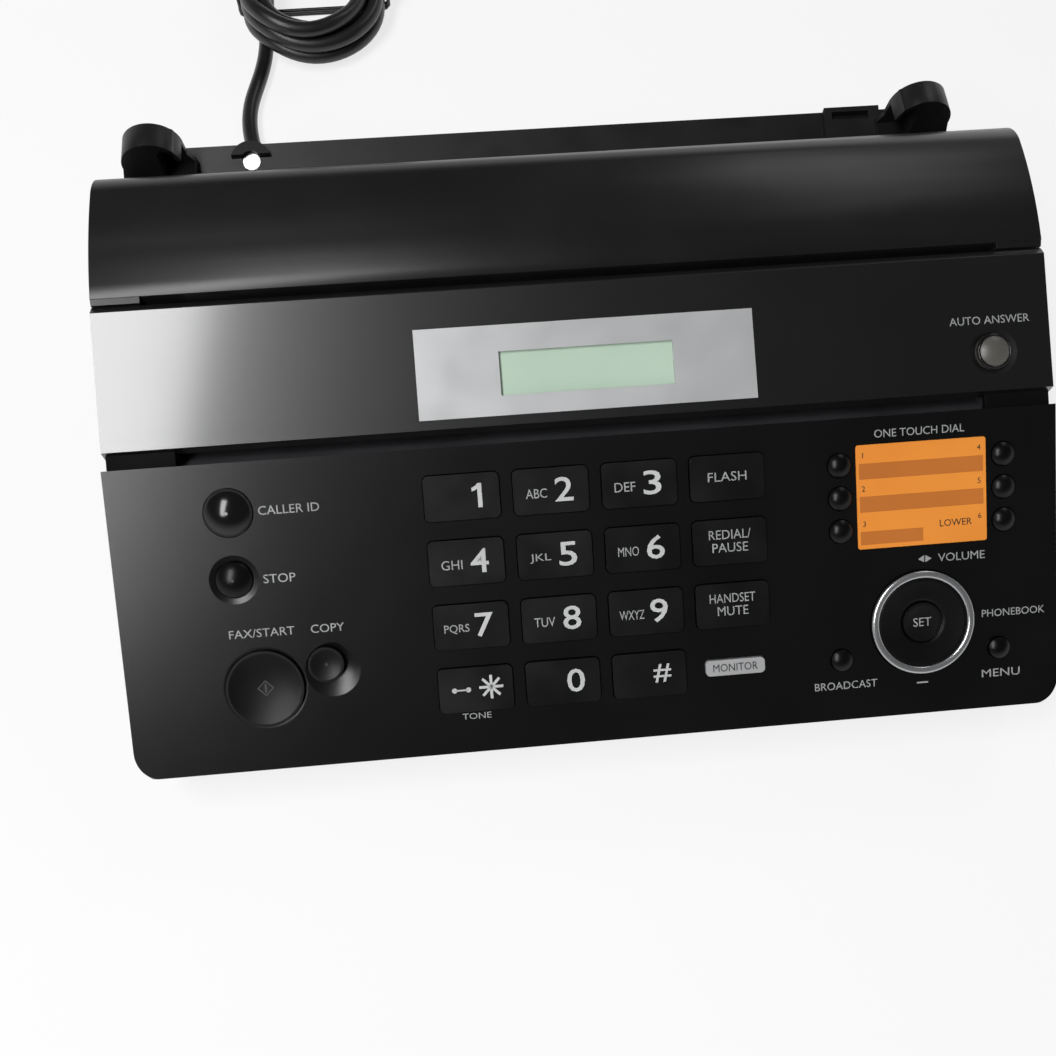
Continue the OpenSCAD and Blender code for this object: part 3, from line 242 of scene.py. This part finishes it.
def sweep(bm, line, radii, sides):
    """Closed tube along a line in mm; radii is one number or one per point."""
    line = np.array(line, float)
    radii = np.broadcast_to(radii, len(line))
    ahead = np.gradient(line, axis=0)
    ahead /= np.linalg.norm(ahead, axis=1, keepdims=True)
    side = np.cross(ahead[0], (0, 0, 1.0) if abs(ahead[0][2]) < 0.9 else (1.0, 0, 0))
    rings = []
    for p, t, r in zip(line, ahead, radii):
        side = side - t * np.dot(side, t)
        side /= np.linalg.norm(side)
        up = np.cross(side, t)
        rings.append([bm.verts.new((p + r * (math.cos(a) * side + math.sin(a) * up)) * MM)
                      for a in np.linspace(0, 2 * math.pi, sides, endpoint=False)])
    join_rings(bm, rings)
    bm.faces.new(rings[0])
    bm.faces.new(rings[-1])


GRAIN_HEIGHT = 0.05 * MM


def moulded(name, colour, rough, grain=0.3, grain_mm=0.35, patchy=0.25, smudge=0.06, metal=0.0,
            specular=0.5, coat=0.0, clump=30.0):
    """Plastic, rubber or metal: clouded colour, uneven gloss and a fine surface grain."""
    mat = bpy.data.materials.new(name)
    mat.use_nodes = True
    tree = mat.node_tree
    surface = tree.nodes["Principled BSDF"]
    where = tree.nodes.new("ShaderNodeTexCoord")
    cloud = tree.nodes.new("ShaderNodeTexNoise")
    cloud.inputs["Scale"].default_value = clump
    cloud.inputs["Detail"].default_value = 5
    wire(tree, where, "Object", cloud, "Vector")
    tint = tree.nodes.new("ShaderNodeValToRGB")
    dark, light = tint.color_ramp.elements
    dark.position, light.position = 0.3, 0.7
    dark.color = (*[c * (1 - patchy) for c in colour], 1)
    light.color = (*[min(1, c * (1 + patchy)) for c in colour], 1)
    wire(tree, cloud, "Fac", tint, 0)
    wire(tree, tint, 0, surface, "Base Color")
    film = tree.nodes.new("ShaderNodeTexNoise")
    film.inputs["Scale"].default_value = clump * 2.3
    film.inputs["Detail"].default_value = 2
    wire(tree, where, "Object", film, "Vector")
    gloss = tree.nodes.new("ShaderNodeMapRange")
    for end, value in (("From Min", 0.3), ("From Max", 0.7), ("To Min", rough - smudge),
                       ("To Max", rough + smudge)):
        gloss.inputs[end].default_value = value
    wire(tree, film, "Fac", gloss, "Value")
    wire(tree, gloss, "Result", surface, "Roughness")
    fine = tree.nodes.new("ShaderNodeTexNoise")
    fine.inputs["Scale"].default_value = 1000 / grain_mm
    fine.inputs["Detail"].default_value = 2
    wire(tree, where, "Object", fine, "Vector")
    bump = tree.nodes.new("ShaderNodeBump")
    bump.inputs["Strength"].default_value = grain
    bump.inputs["Distance"].default_value = GRAIN_HEIGHT
    wire(tree, fine, "Fac", bump, "Height")
    wire(tree, bump, "Normal", surface, "Normal")
    surface.inputs["Metallic"].default_value = metal
    surface.inputs["Specular IOR Level"].default_value = specular
    surface.inputs["Coat Weight"].default_value = coat
    return mat


pvc_black = moulded("pvc_black", (0.012, 0.012, 0.013), 0.34, grain=0.12, grain_mm=0.8)
bm = bmesh.new()
sweep(bm, CORD_LINE, CORD_D / 2, 16)
power_lead = place_mesh("power_lead", bm, pvc_black)
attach(power_lead, "base")
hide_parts("power_cord", "cord_hank")

# Tapered sleeve that keeps the lead from kinking where it leaves the case: soft PVC with ribs, moulded
# on the lead and snapped into the rear wall.
SLEEVE_STEPS, SLEEVE_R, SLEEVE_TAPER, SLEEVE_RIB = 31, 4.9, 1.3, 0.5
sleeve_radii = [SLEEVE_R - SLEEVE_TAPER * k / (SLEEVE_STEPS - 1) - (SLEEVE_RIB if k > 4 and k // 2 % 2 else 0)
                for k in range(SLEEVE_STEPS)]
bm = bmesh.new()
sweep(bm, [(EXIT_X, y, EXIT_Z) for y in np.linspace(89.5, 112, SLEEVE_STEPS)], sleeve_radii, 28)
cord_sleeve = place_mesh("cord_sleeve", bm, pvc_black)
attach(cord_sleeve, "base")
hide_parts("strain_relief")

# Black plastic-coated wire tie, wound twice round the hank near the end that faces the machine. Its line
# is a circle pressed against the hank's sides, top and bottom.
TIE_HALF_W, TIE_HALF_H, TIE_MIDDLE_Z, TIE_PITCH, TIE_R = 30.3, 12.0, 13.1, 0.35, 0.75
tie = [(HANK_X + TIE_HALF_W * max(-1, min(1, 1.25 * math.cos(a))), HANK_Y + 30 + a * TIE_PITCH,
        TIE_MIDDLE_Z + TIE_HALF_H * max(-1, min(1, 1.5 * math.sin(a))))
       for a in np.linspace(math.pi, 5 * math.pi, 65)]
bm = bmesh.new()
sweep(bm, smooth_line(tie, 2.0), TIE_R, 8)
hank_tie = place_mesh("hank_tie", bm, pvc_black)
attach(hank_tie, "base")

# Two-pin plug at the hank's far end. Its waisted grip is PVC moulded round the lead and the blades, and
# its sections go from round at the lead to a soft oblong at the face.
PLUG_X, PLUG_Y, PLUG_Z = -104.4, 313, 8.0
PLUG_SIDES = 32
PLUG_SECTIONS = [(0, 3.4, 3.4), (3, 4.2, 4.2), (4, 3.7, 3.7), (6, 4.6, 4.6), (7, 4.0, 4.0), (9, 5.4, 4.8),
                 (12, 8.0, 5.6), (15, 9.6, 6.0), (19, 9.2, 5.7), (24, 9.8, 6.2), (30, 11.6, 7.0),
                 (32, 11.9, 7.2), (33, 11.2, 6.6)]
bm = bmesh.new()
rings = []
for y, half_w, half_h in PLUG_SECTIONS:
    square = 0.72 if y > 9 else 1.0
    ring = []
    for k in range(PLUG_SIDES):
        a = 2 * math.pi * k / PLUG_SIDES
        cx, cz = math.cos(a), math.sin(a)
        ring.append(bm.verts.new(Vector((PLUG_X + half_w * math.copysign(abs(cx) ** square, cx), PLUG_Y + y,
                                         PLUG_Z + half_h * math.copysign(abs(cz) ** square, cz))) * MM))
    rings.append(ring)
join_rings(bm, rings)
bm.faces.new(rings[0])
bm.faces.new(rings[-1])
plug_grip = place_mesh("plug_grip", bm, pvc_black)
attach(plug_grip, "base")
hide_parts("plug")


def soft_block(bm, place, size, edge):
    """Block with rounded edges, centred at a place; millimetres."""
    made = bmesh.ops.create_cube(bm, size=1, matrix=Matrix.Translation(Vector(place) * MM)
                                 @ Matrix.Diagonal((*[s * MM for s in size], 1)))
    bmesh.ops.bevel(bm, geom=list({e for v in made["verts"] for e in v.link_edges}), offset=edge * MM,
                    segments=2, affect="EDGES", profile=0.5)


# Two blades of nickel-plated brass strip, 12.7 mm apart, with their edges broken.
nickel = moulded("nickel", (0.62, 0.61, 0.58), 0.24, grain=0.05, patchy=0.08, metal=1.0)
BLADE_GAP, BLADE_SIZE = 12.7, (1.6, 18, 6.2)
bm = bmesh.new()
for s in (-1, 1):
    soft_block(bm, (PLUG_X + s * BLADE_GAP / 2, PLUG_Y + 41, PLUG_Z), BLADE_SIZE, 0.4)
plug_blades = place_mesh("plug_blades", bm, nickel)
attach(plug_blades, "base")

# ---------------------------------------------------------------- moulded casing
# Injection-moulded ABS: a fine-textured case and tray, a satin key panel and lid, and a polished
# display panel. All black; colour and gloss vary slightly with the melt and with handling.


def dress(material, *names):
    """Gives a node's every slot one finish."""
    for name in names:
        for slot in NODES[name].material_slots:
            slot.material = material


def soft_edges(name, radius):
    """Moulded corner radius in mm on a node's edges that turn by more than 40 degrees."""
    node = NODES[name]
    join = node.modifiers.new("joined", "WELD")
    join.merge_threshold = 0.01 * MM
    round_off = node.modifiers.new("moulded_radius", "BEVEL")
    round_off.width = radius * MM
    round_off.segments = 3
    round_off.limit_method = "ANGLE"
    round_off.angle_limit = math.radians(40)
    round_off.harden_normals = True


case_black = moulded("case_black", (0.0075, 0.0076, 0.008), 0.42, grain=0.5, grain_mm=0.45, specular=0.35)
panel_black = moulded("panel_black", (0.0040, 0.0041, 0.0044), 0.26, grain=0.22, grain_mm=0.4, smudge=0.005,
                      specular=0.36)
lid_black = moulded("lid_black", (0.0085, 0.0086, 0.0088), 0.31, grain=0.16, grain_mm=0.5, smudge=0.01,
                    specular=0.40)
display_black = moulded("display_black", (0.0040, 0.0041, 0.0044), 0.32, grain=0.03, grain_mm=1.5,
                        smudge=0.005, coat=1.0)
display_black.node_tree.nodes["Principled BSDF"].inputs["Coat Roughness"].default_value = 0.13
dress(case_black, "bottom_case", "document_tray", "guide_left", "guide_right")
dress(panel_black, "control_panel")
dress(lid_black, "top_cover")
dress(display_black, "display_panel")
for name, radius in (("top_cover", 0.9), ("document_tray", 0.3), ("guide_left", 0.6), ("guide_right", 0.6),
                     ("bottom_case", 0.5)):
    soft_edges(name, radius)

# Blanking strips of dull black plastic, clipped between the key panel and the display panel. They close
# the document slot outside the paper's width. The section is in y and z.
STRIP_SECTION = [(-16.77, 73.3), (-12.64, 75.2), (-12.64, 73.4), (-16.77, 71.2)]
STRIP_INNER, STRIP_OUTER = 115.6, 134.8
bm = bmesh.new()
for x0, x1 in ((-STRIP_OUTER, -STRIP_INNER), (STRIP_INNER, STRIP_OUTER)):
    near = [bm.verts.new(Vector((x0, y, z)) * MM) for y, z in STRIP_SECTION]
    away = [bm.verts.new(Vector((x1, y, z)) * MM) for y, z in STRIP_SECTION]
    bm.faces.new(near)
    bm.faces.new(away[::-1])
    for k in range(4):
        j = (k + 1) % 4
        bm.faces.new((near[k], away[k], away[j], near[j]))
bmesh.ops.recalc_face_normals(bm, faces=bm.faces)
bmesh.ops.bevel(bm, geom=bm.edges[:], offset=0.3 * MM, segments=2, affect="EDGES", profile=0.5)
slot_black = moulded("slot_black", (0.003, 0.003, 0.0032), 0.7, grain=0.2, specular=0.08)
slot_strips = place_mesh("slot_strips", bm, slot_black, smooth=False)
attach(slot_strips, "base")

# ---------------------------------------------------------------- display
# Satin silver frame, painted and stuck on the display panel, round the window of a reflective green
# liquid-crystal module with its dots in a fine grid.
DISPLAY_SLOPE = 22.8
silver = moulded("silver_paint", (0.58, 0.585, 0.59), 0.38, grain=0.1, grain_mm=0.25, patchy=0.05, metal=0.35)
dress(silver, "silver_plate")


def liquid_crystal():
    """Pale green glass with a grid of dots 0.6 mm apart."""
    mat = moulded("liquid_crystal", (0.60, 0.77, 0.62), 0.16, grain=0.02, patchy=0.10, smudge=0.04, clump=18)
    tree = mat.node_tree
    surface = tree.nodes["Principled BSDF"]
    where = tree.nodes["Texture Coordinate"]
    lean = tree.nodes.new("ShaderNodeMapping")
    lean.inputs["Rotation"].default_value = (math.radians(-DISPLAY_SLOPE), 0, 0)
    wire(tree, where, "Object", lean, "Vector")
    cells = tree.nodes.new("ShaderNodeTexBrick")
    cells.offset = 0
    cells.inputs["Scale"].default_value = 1000
    cells.inputs["Brick Width"].default_value = 0.58
    cells.inputs["Row Height"].default_value = 0.62
    cells.inputs["Mortar Size"].default_value = 0.035
    cells.inputs["Color1"].default_value = WHITE
    cells.inputs["Color2"].default_value = (0.985, 0.985, 0.985, 1)
    cells.inputs["Mortar"].default_value = (0.93, 0.93, 0.93, 1)
    wire(tree, lean, "Vector", cells, "Vector")
    over = tree.nodes.new("ShaderNodeMix")
    over.data_type = "RGBA"
    over.blend_type = "MULTIPLY"
    over.inputs[0].default_value = 1
    tint = surface.inputs["Base Color"].links[0].from_node
    wire(tree, tint, 0, over, 6)
    wire(tree, cells, "Color", over, 7)
    wire(tree, over, 2, surface, "Base Color")
    return mat


dress(liquid_crystal(), "lcd_module")

# ---------------------------------------------------------------- keys
# Moulded caps on the rubber contact sheet, each in its own opening: satin black slabs, glossy black
# domes, dull black dishes, a silver bar and a grey-beige dome.
cap_black = moulded("cap_black", (0.0042, 0.0043, 0.0046), 0.33, grain=0.25, grain_mm=0.35, specular=0.4)
dome_black = moulded("dome_black", (0.005, 0.005, 0.0055), 0.16, grain=0.03, smudge=0.03, specular=0.45)
touch_black = moulded("touch_black", (0.0032, 0.0032, 0.0035), 0.28, grain=0.06, smudge=0.04, specular=0.20)
dish_black = moulded("dish_black", (0.0038, 0.0038, 0.0041), 0.38, grain=0.25, grain_mm=0.35, specular=0.22)
cap_beige = moulded("cap_beige", (0.10, 0.094, 0.083), 0.34, grain=0.2, patchy=0.1)
SLAB_KEYS = ["key_" + end for end in ("1", "2", "3", "4", "5", "6", "7", "8", "9", "star", "0", "hash")]
SLAB_KEYS += ["flash_key", "redial_key", "mute_key"]
dress(cap_black, *SLAB_KEYS, "set_key")
dress(dish_black, "start_key", "copy_key")
for name in SLAB_KEYS + ["start_key", "copy_key", "set_key", "monitor_key"]:
    soft_edges(name, 0.35)
for name in ("navigator_key", "caller_key", "stop_key", "answer_key"):
    soft_edges(name, 0.25)
dress(dome_black, "caller_key")
dress(touch_black, "stop_key", "broadcast_key", "menu_key", "one_touch_left", "one_touch_right")
dress(silver, "monitor_key")
dress(cap_black, "navigator_key")
dress(cap_beige, "answer_key")


# ---------------------------------------------------------------- navigator key
# Black dished pad, pressed at its four sides, in a plated plastic ring with a round top. Both are set in
# the key's own cap and move with it.
PANEL_TOP, PANEL_SLOPE = (0, -17.174, 74.5), 30
KEY_TOP = 0.9
NAV_X, NAV_V = 95.0, -61.3
NAV_BOWL_R, NAV_BOWL_DEPTH = 13.3, 1.5
NAV_BALL = (NAV_BOWL_R**2 + NAV_BOWL_DEPTH**2) / (2 * NAV_BOWL_DEPTH)


def tilted(place, slope):
    """A sloping surface's own axes at a place on it."""
    return Matrix.Translation(Vector(place) * MM) @ Matrix.Rotation(math.radians(slope), 4, "X")


def on_panel(x, v, h=0.0):
    """Place on the key panel: x across, v up the slope from its top edge, h out of it; millimetres."""
    return tilted(PANEL_TOP, PANEL_SLOPE) @ Matrix.Translation(Vector((x, v, h)) * MM)


def turned(bm, at, outline, sides=96):
    """Round piece turned from (radius, height) points; millimetres."""
    rings = [[bm.verts.new(at @ (Vector((r * math.cos(a), r * math.sin(a), h)) * MM))
              for a in np.linspace(0, 2 * math.pi, sides, endpoint=False)] for r, h in outline]
    join_rings(bm, rings, loop=True)


def in_hollow(r):
    """Height of the cap's hollow at a radius."""
    return KEY_TOP - NAV_BOWL_DEPTH + NAV_BALL - math.sqrt(NAV_BALL**2 - r * r)


bm = bmesh.new()
pad_top = [(r, in_hollow(r) + 0.22) for r in np.linspace(6.5, 12.9, 9)]
pad_low = [(r, in_hollow(r) + 0.02) for r in np.linspace(13.1, 6.25, 9)]
turned(bm, on_panel(NAV_X, NAV_V), pad_top + pad_low)
nav_pad = place_mesh("nav_pad", bm, dish_black)
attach(nav_pad, "navigator_key_cap")
ring_silver = moulded("ring_silver", (0.50, 0.505, 0.51), 0.24, grain=0.06, grain_mm=0.3, patchy=0.04,
                      smudge=0.02, metal=0.8)
bm = bmesh.new()
turned(bm, on_panel(NAV_X, NAV_V), [(14.35 - 1.05 * math.cos(a), 0.88 + 0.6 * math.sin(a))
                                    for a in np.linspace(0, math.pi, 13)])
nav_rim = place_mesh("nav_rim", bm, ring_silver)
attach(nav_rim, "navigator_key_cap")

# ---------------------------------------------------------------- auto-answer key
# Glossy black collar pressed on the grey-beige cap, so that only the cap's middle shows. Its section is
# in radius and height above the display panel.
DISPLAY_BOTTOM = (0, -12.844, 77.0)
COLLAR_SECTION = [(4.35, 0.78), (4.35, 1.05), (4.7, 1.14), (5.0, 1.02), (5.12, 0.75), (5.12, 0.20),
                  (4.85, 0.10)]


def on_display(x, s):
    """Place on the display panel: x across, s up the slope from its lower edge; millimetres."""
    return tilted(DISPLAY_BOTTOM, DISPLAY_SLOPE) @ Matrix.Translation(Vector((x, s, 0)) * MM)


bm = bmesh.new()
turned(bm, on_display(118.4, 11.2), COLLAR_SECTION)
answer_collar = place_mesh("answer_collar", bm, dome_black)
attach(answer_collar, "answer_key_cap")

# ---------------------------------------------------------------- printing on the keys
# Silk-screened figures in white, letters and function words in grey, and dark ink on the silver bar key.
# The ink is a thin raised layer on each cap.
INK_T = 0.03
KEY_X = [-37.3, -12.0, 13.3, 38.6]
KEY_V = [-14.3, -32.9, -51.5, -70.1]
DIGITS = [("key_1", "1", ""), ("key_2", "2", "ABC"), ("key_3", "3", "DEF"), ("key_4", "4", "GHI"),
          ("key_5", "5", "JKL"), ("key_6", "6", "MNO"), ("key_7", "7", "PQRS"), ("key_8", "8", "TUV"),
          ("key_9", "9", "WXYZ"), ("key_star", "*", ""), ("key_0", "0", ""), ("key_hash", "#", "")]
WORD_KEYS = [("flash_key", [("FLASH", 11.2, 0)]),
             ("redial_key", [("REDIAL/", 12.2, 1.9), ("PAUSE", 10.4, -1.9)]),
             ("mute_key", [("HANDSET", 13.4, 1.9), ("MUTE", 9.0, -1.9)])]
FIGURE_ONE = [(0.1, -3.45), (1.35, -3.45), (1.35, 3.45), (0.25, 3.45), (-0.4, 2.75), (-1.5, 2.2),
              (-1.5, 1.15), (-0.5, 1.5), (0.1, 1.95)]


def letters(bm, text, at, size, weight=0.0):
    """Printed word of a given width and height in mm, centred at a place; width 0 keeps the proportions."""
    curve = bpy.data.curves.new("word", "FONT")
    curve.body = text
    curve.align_x = "CENTER"
    curve.space_line = 0.85
    curve.offset = weight
    curve.extrude = 0.01
    curve.resolution_u = 3
    word = bpy.data.objects.new("word", curve)
    scene.collection.objects.link(word)
    bpy.context.view_layer.update()
    mesh = bpy.data.meshes.new_from_object(word.evaluated_get(bpy.context.evaluated_depsgraph_get()))
    co = np.array([v.co for v in mesh.vertices])
    low, high = co.min(0), co.max(0)
    middle = (low + high) / 2
    sx = size[0] / (high[0] - low[0]) if size[0] else size[1] / (high[1] - low[1])
    sy = size[1] / (high[1] - low[1])
    fit = at @ Matrix.Diagonal((sx * MM, sy * MM, INK_T * MM / 0.02, 1)) @ Matrix.Translation(
        (-middle[0], -middle[1], -low[2]))
    mesh.transform(fit)
    bm.from_mesh(mesh)
    bpy.data.objects.remove(word)
    bpy.data.curves.remove(curve)
    bpy.data.meshes.remove(mesh)


def bar(bm, at, width, height):
    """Thin rectangle of ink, centred at a place; millimetres."""
    bmesh.ops.create_cube(bm, size=1, matrix=at @ Matrix.Diagonal((width * MM, height * MM, INK_T * MM, 1)))


def disc(bm, at, radius, sides=16):
    """Thin disc of ink, or a triangle with three sides, centred at a place; millimetres."""
    bmesh.ops.create_cone(bm, cap_ends=True, segments=sides, radius1=radius * MM, radius2=radius * MM,
                          depth=INK_T * MM, matrix=at)


def figure_one(bm, at):
    """The figure 1: an upright with a flag."""
    low, high = [[bm.verts.new(at @ (Vector((u, w, h)) * MM)) for u, w in FIGURE_ONE] for h in (0, INK_T)]
    bm.faces.new(low)
    bm.faces.new(high)
    for k in range(len(FIGURE_ONE)):
        j = (k + 1) % len(FIGURE_ONE)
        bm.faces.new((low[k], low[j], high[j], high[k]))


def ink(name, colour, patchy):
    """Matt printing ink that lies a little unevenly."""
    return moulded(name, colour, 0.5, grain=0.1, patchy=patchy, clump=200)


def key_print(name, key, bm, ink_used):
    """Printing that moves with its key."""
    piece = place_mesh(name, bm, ink_used, smooth=False)
    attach(piece, key + "_cap")


ink_white = ink("ink_white", (0.58, 0.59, 0.58), 0.08)
ink_grey = ink("ink_grey", (0.36, 0.365, 0.365), 0.15)
ink_dark = ink("ink_dark", (0.02, 0.02, 0.02), 0.1)
for i, (key, digit, small) in enumerate(DIGITS):
    x, v = KEY_X[i % 3], KEY_V[i // 3]
    bm = bmesh.new()
    if digit == "*":
        star = on_panel(x + 4.4, v + 0.4, KEY_TOP + INK_T / 2)
        for a in (0, 45, 90, 135):
            bar(bm, star @ Matrix.Rotation(math.radians(a), 4, "Z"), 7.0, 0.8)
        for dx in (-6.2, -2.2):
            disc(bm, on_panel(x + dx, v, KEY_TOP + INK_T / 2), 0.75)
        bar(bm, on_panel(x - 4.2, v, KEY_TOP + INK_T / 2), 4, 0.45)
    elif digit == "1":
        figure_one(bm, on_panel(x + 4.4, v + 0.2, KEY_TOP))
    else:
        letters(bm, digit, on_panel(x + 3.7, v + 0.2, KEY_TOP), (5.2, 5.4 if digit == "#" else 6.9), 0.008)
    key_print("print_" + key, key, bm, ink_white)
    if small:
        bm = bmesh.new()
        letters(bm, small, on_panel(x - 4.2, v - 0.6, KEY_TOP), (6.0 if len(small) < 4 else 7.2, 2.7))
        key_print("letters_" + key, key, bm, ink_grey)

for row, (key, lines) in enumerate(WORD_KEYS):
    bm = bmesh.new()
    for text, width, rise in lines:
        letters(bm, text, on_panel(KEY_X[3], KEY_V[row] + rise + 0.3, KEY_TOP), (width, 2.7))
    key_print("print_" + key, key, bm, ink_grey)

bm = bmesh.new()
letters(bm, "MONITOR", on_panel(KEY_X[3], KEY_V[3] + 0.2, KEY_TOP), (13.2, 2.3))
key_print("print_monitor_key", "monitor_key", bm, ink_dark)

# The navigator's middle key says SET, and the start key carries a diamond with a bar in faint grey, both
# in the bottom of the key's hollow.
START_X, START_V = -97, -64.8
bm = bmesh.new()
letters(bm, "SET", on_panel(NAV_X, NAV_V, 0.06), (5.4, 2.6))
key_print("print_set_key", "set_key", bm, ink_grey)
ink_faint = ink("ink_faint", (0.05, 0.05, 0.05), 0.15)
bm = bmesh.new()
turned(bm, on_panel(START_X, START_V, 0.28), [(1.9, 0), (2.35, 0), (2.35, INK_T), (1.9, INK_T)], sides=4)
bar(bm, on_panel(START_X, START_V, 0.29), 0.45, 2.6)
key_print("print_start_key", "start_key", bm, ink_faint)

# ---------------------------------------------------------------- words on the panels
# Grey screen-printed legends beside the keys, a bar under the navigator and two arrowheads for volume.
# Each row is a word, its middle on the key panel, and its width and height.
LEGENDS = [("CALLER ID", -85.8, -14.0, 17.0, 2.5), ("STOP", -90.2, -33.4, 9.0, 2.5),
           ("FAX/START", -96.6, -48.7, 18.4, 2.4), ("COPY", -78.1, -48.8, 9.4, 2.4),
           ("ONE TOUCH DIAL", 95.4, -5.0, 26.6, 2.3), ("VOLUME", 107.2, -42.5, 14.0, 2.4),
           ("PHONEBOOK", 122.6, -60.3, 19.0, 2.2), ("BROADCAST", 71.6, -78.5, 18.8, 2.3),
           ("MENU", 118.6, -78.5, 11.6, 2.4), ("TONE", KEY_X[0] - 0.3, -78.2, 8.4, 1.8)]
bm = bmesh.new()
for text, x, v, width, height in LEGENDS:
    letters(bm, text, on_panel(x, v), (width, height))
bar(bm, on_panel(94.7, -79.6, INK_T / 2), 3.4, 0.5)
for s in (-1, 1):
    arrow = on_panel(96.2 + s * 0.8, -42.5, INK_T / 2) @ Matrix.Rotation(math.radians(-90 * s), 4, "Z")
    disc(bm, arrow, 1.2, sides=3)
panel_words = place_mesh("panel_words", bm, ink_grey, smooth=False)
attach(panel_words, "front_cover")

bm = bmesh.new()
letters(bm, "AUTO ANSWER", on_display(117.8, 20.4), (23.6, 2.3))
display_words = place_mesh("display_words", bm, ink_grey, smooth=False)
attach(display_words, "base")

# ---------------------------------------------------------------- directory card
# Fluorescent orange paper card in its recess, printed with darker bands for the one-touch names, the six
# keys' numbers and a word. Bands are in mm from the card's middle.
CARD_X, CARD_V, CARD_TOP = 95.8, -23.2, -0.2
CARD_BANDS = [(7.5, 4.6, -18.4, 18.4), (-2.1, 4.6, -18.4, 18.4), (-12.0, 3.9, -18.4, 0.2)]
CARD_STOCK = dict(rough=0.55, grain=0.15, grain_mm=0.5, patchy=0.07, specular=0.3)
dress(moulded("card_orange", (1.0, 0.33, 0.045), **CARD_STOCK), "directory_card")
card_band = moulded("card_band", (0.62, 0.19, 0.03), **CARD_STOCK)
bm = bmesh.new()
for v, height, x0, x1 in CARD_BANDS:
    bar(bm, on_panel(CARD_X + (x0 + x1) / 2, CARD_V + v, CARD_TOP + INK_T / 2), x1 - x0, height)
card_bands = place_mesh("card_bands", bm, card_band, smooth=False)
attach(card_bands, "front_cover")
bm = bmesh.new()
for k, v in enumerate((12.2, 2.5, -7.8)):
    for number, side in ((k + 1, -17.2), (k + 4, 17.2)):
        letters(bm, str(number), on_panel(CARD_X + side, CARD_V + v, CARD_TOP), (0, 1.6))
letters(bm, "LOWER", on_panel(CARD_X + 10.0, CARD_V - 9.2, CARD_TOP), (9.6, 2.0))
card_words = place_mesh("card_words", bm, ink_dark, smooth=False)
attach(card_words, "front_cover")

# ---------------------------------------------------------------- boards
# Green glass-fibre boards: a bare one under the contact sheet, and the main one, whose black sockets and
# supply parts stand on it. The sockets reach through the left wall.
BOARD_GREEN = dict(colour=(0.018, 0.10, 0.035), rough=0.35, grain=0.2, grain_mm=1.2, patchy=0.3, clump=120)
SOCKET_END, PARTS_RISE = -0.118, 0.0018
dress(moulded("board_green", **BOARD_GREEN), "key_board")


def with_black_parts(mat, left_of, above):
    """Black plastic for what stands above the board or lies left of it; metres."""
    tree = mat.node_tree
    surface = tree.nodes["Principled BSDF"]
    tint = surface.inputs["Base Color"].links[0].from_node
    where = tree.nodes.new("ShaderNodeTexCoord")
    axes = tree.nodes.new("ShaderNodeSeparateXYZ")
    wire(tree, where, "Object", axes, 0)
    either = tree.nodes.new("ShaderNodeMath")
    either.operation = "MAXIMUM"
    for k, (axis, test, limit) in enumerate((("X", "LESS_THAN", left_of), ("Z", "GREATER_THAN", above))):
        side = tree.nodes.new("ShaderNodeMath")
        side.operation = test
        side.inputs[1].default_value = limit
        wire(tree, axes, axis, side, 0)
        wire(tree, side, 0, either, k)
    parted = tree.nodes.new("ShaderNodeMix")
    parted.data_type = "RGBA"
    parted.inputs[7].default_value = (0.010, 0.010, 0.011, 1)
    wire(tree, either, 0, parted, 0)
    wire(tree, tint, 0, parted, 6)
    wire(tree, parted, 2, surface, "Base Color")
    return mat


board_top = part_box("main_board")[0][2] + PARTS_RISE
dress(with_black_parts(moulded("main_board_green", **BOARD_GREEN), SOCKET_END, board_top), "main_board")

# ---------------------------------------------------------------- paper and document drive
# Grey moulded chassis and paper trough, rubber rollers, the steel and ceramic head and its springs, a
# brass pinion, acetal gears, and the roll of thermal paper. The sheet and the feet are moulded rubber.
inner_grey = moulded("inner_grey", (0.045, 0.046, 0.05), 0.45, grain=0.4, grain_mm=0.5)
dress(inner_grey, "chassis", "paper_holder", "image_sensor", "speaker")
dress(moulded("sheet_silicone", (0.22, 0.23, 0.24), 0.55, grain=0.2), "key_sheet")
dress(moulded("roller_rubber", (0.018, 0.018, 0.019), 0.6, grain=0.5, grain_mm=0.2), "platen_roller")
dress(moulded("roller_white", (0.62, 0.62, 0.58), 0.6, grain=0.5, grain_mm=0.2, patchy=0.08), "feed_roller")
dress(moulded("foot_rubber", (0.012, 0.012, 0.012), 0.75, grain=0.6, grain_mm=0.4), "feet")
dress(moulded("steel_plain", (0.50, 0.50, 0.51), 0.30, grain=0.15, patchy=0.1, metal=1.0),
      "thermal_head", "head_springs", "motor", "case_screws")
dress(moulded("brass_turned", (0.62, 0.44, 0.18), 0.25, grain=0.1, patchy=0.1, metal=1.0), "motor_pinion")
dress(moulded("acetal", (0.62, 0.58, 0.48), 0.42, grain=0.2, patchy=0.06),
      "reduction_gear", "idler_gear", "guide_pinion")
dress(moulded("paper_white", (0.80, 0.79, 0.76), 0.55, grain=0.3, grain_mm=0.2, patchy=0.03), "paper_roll")
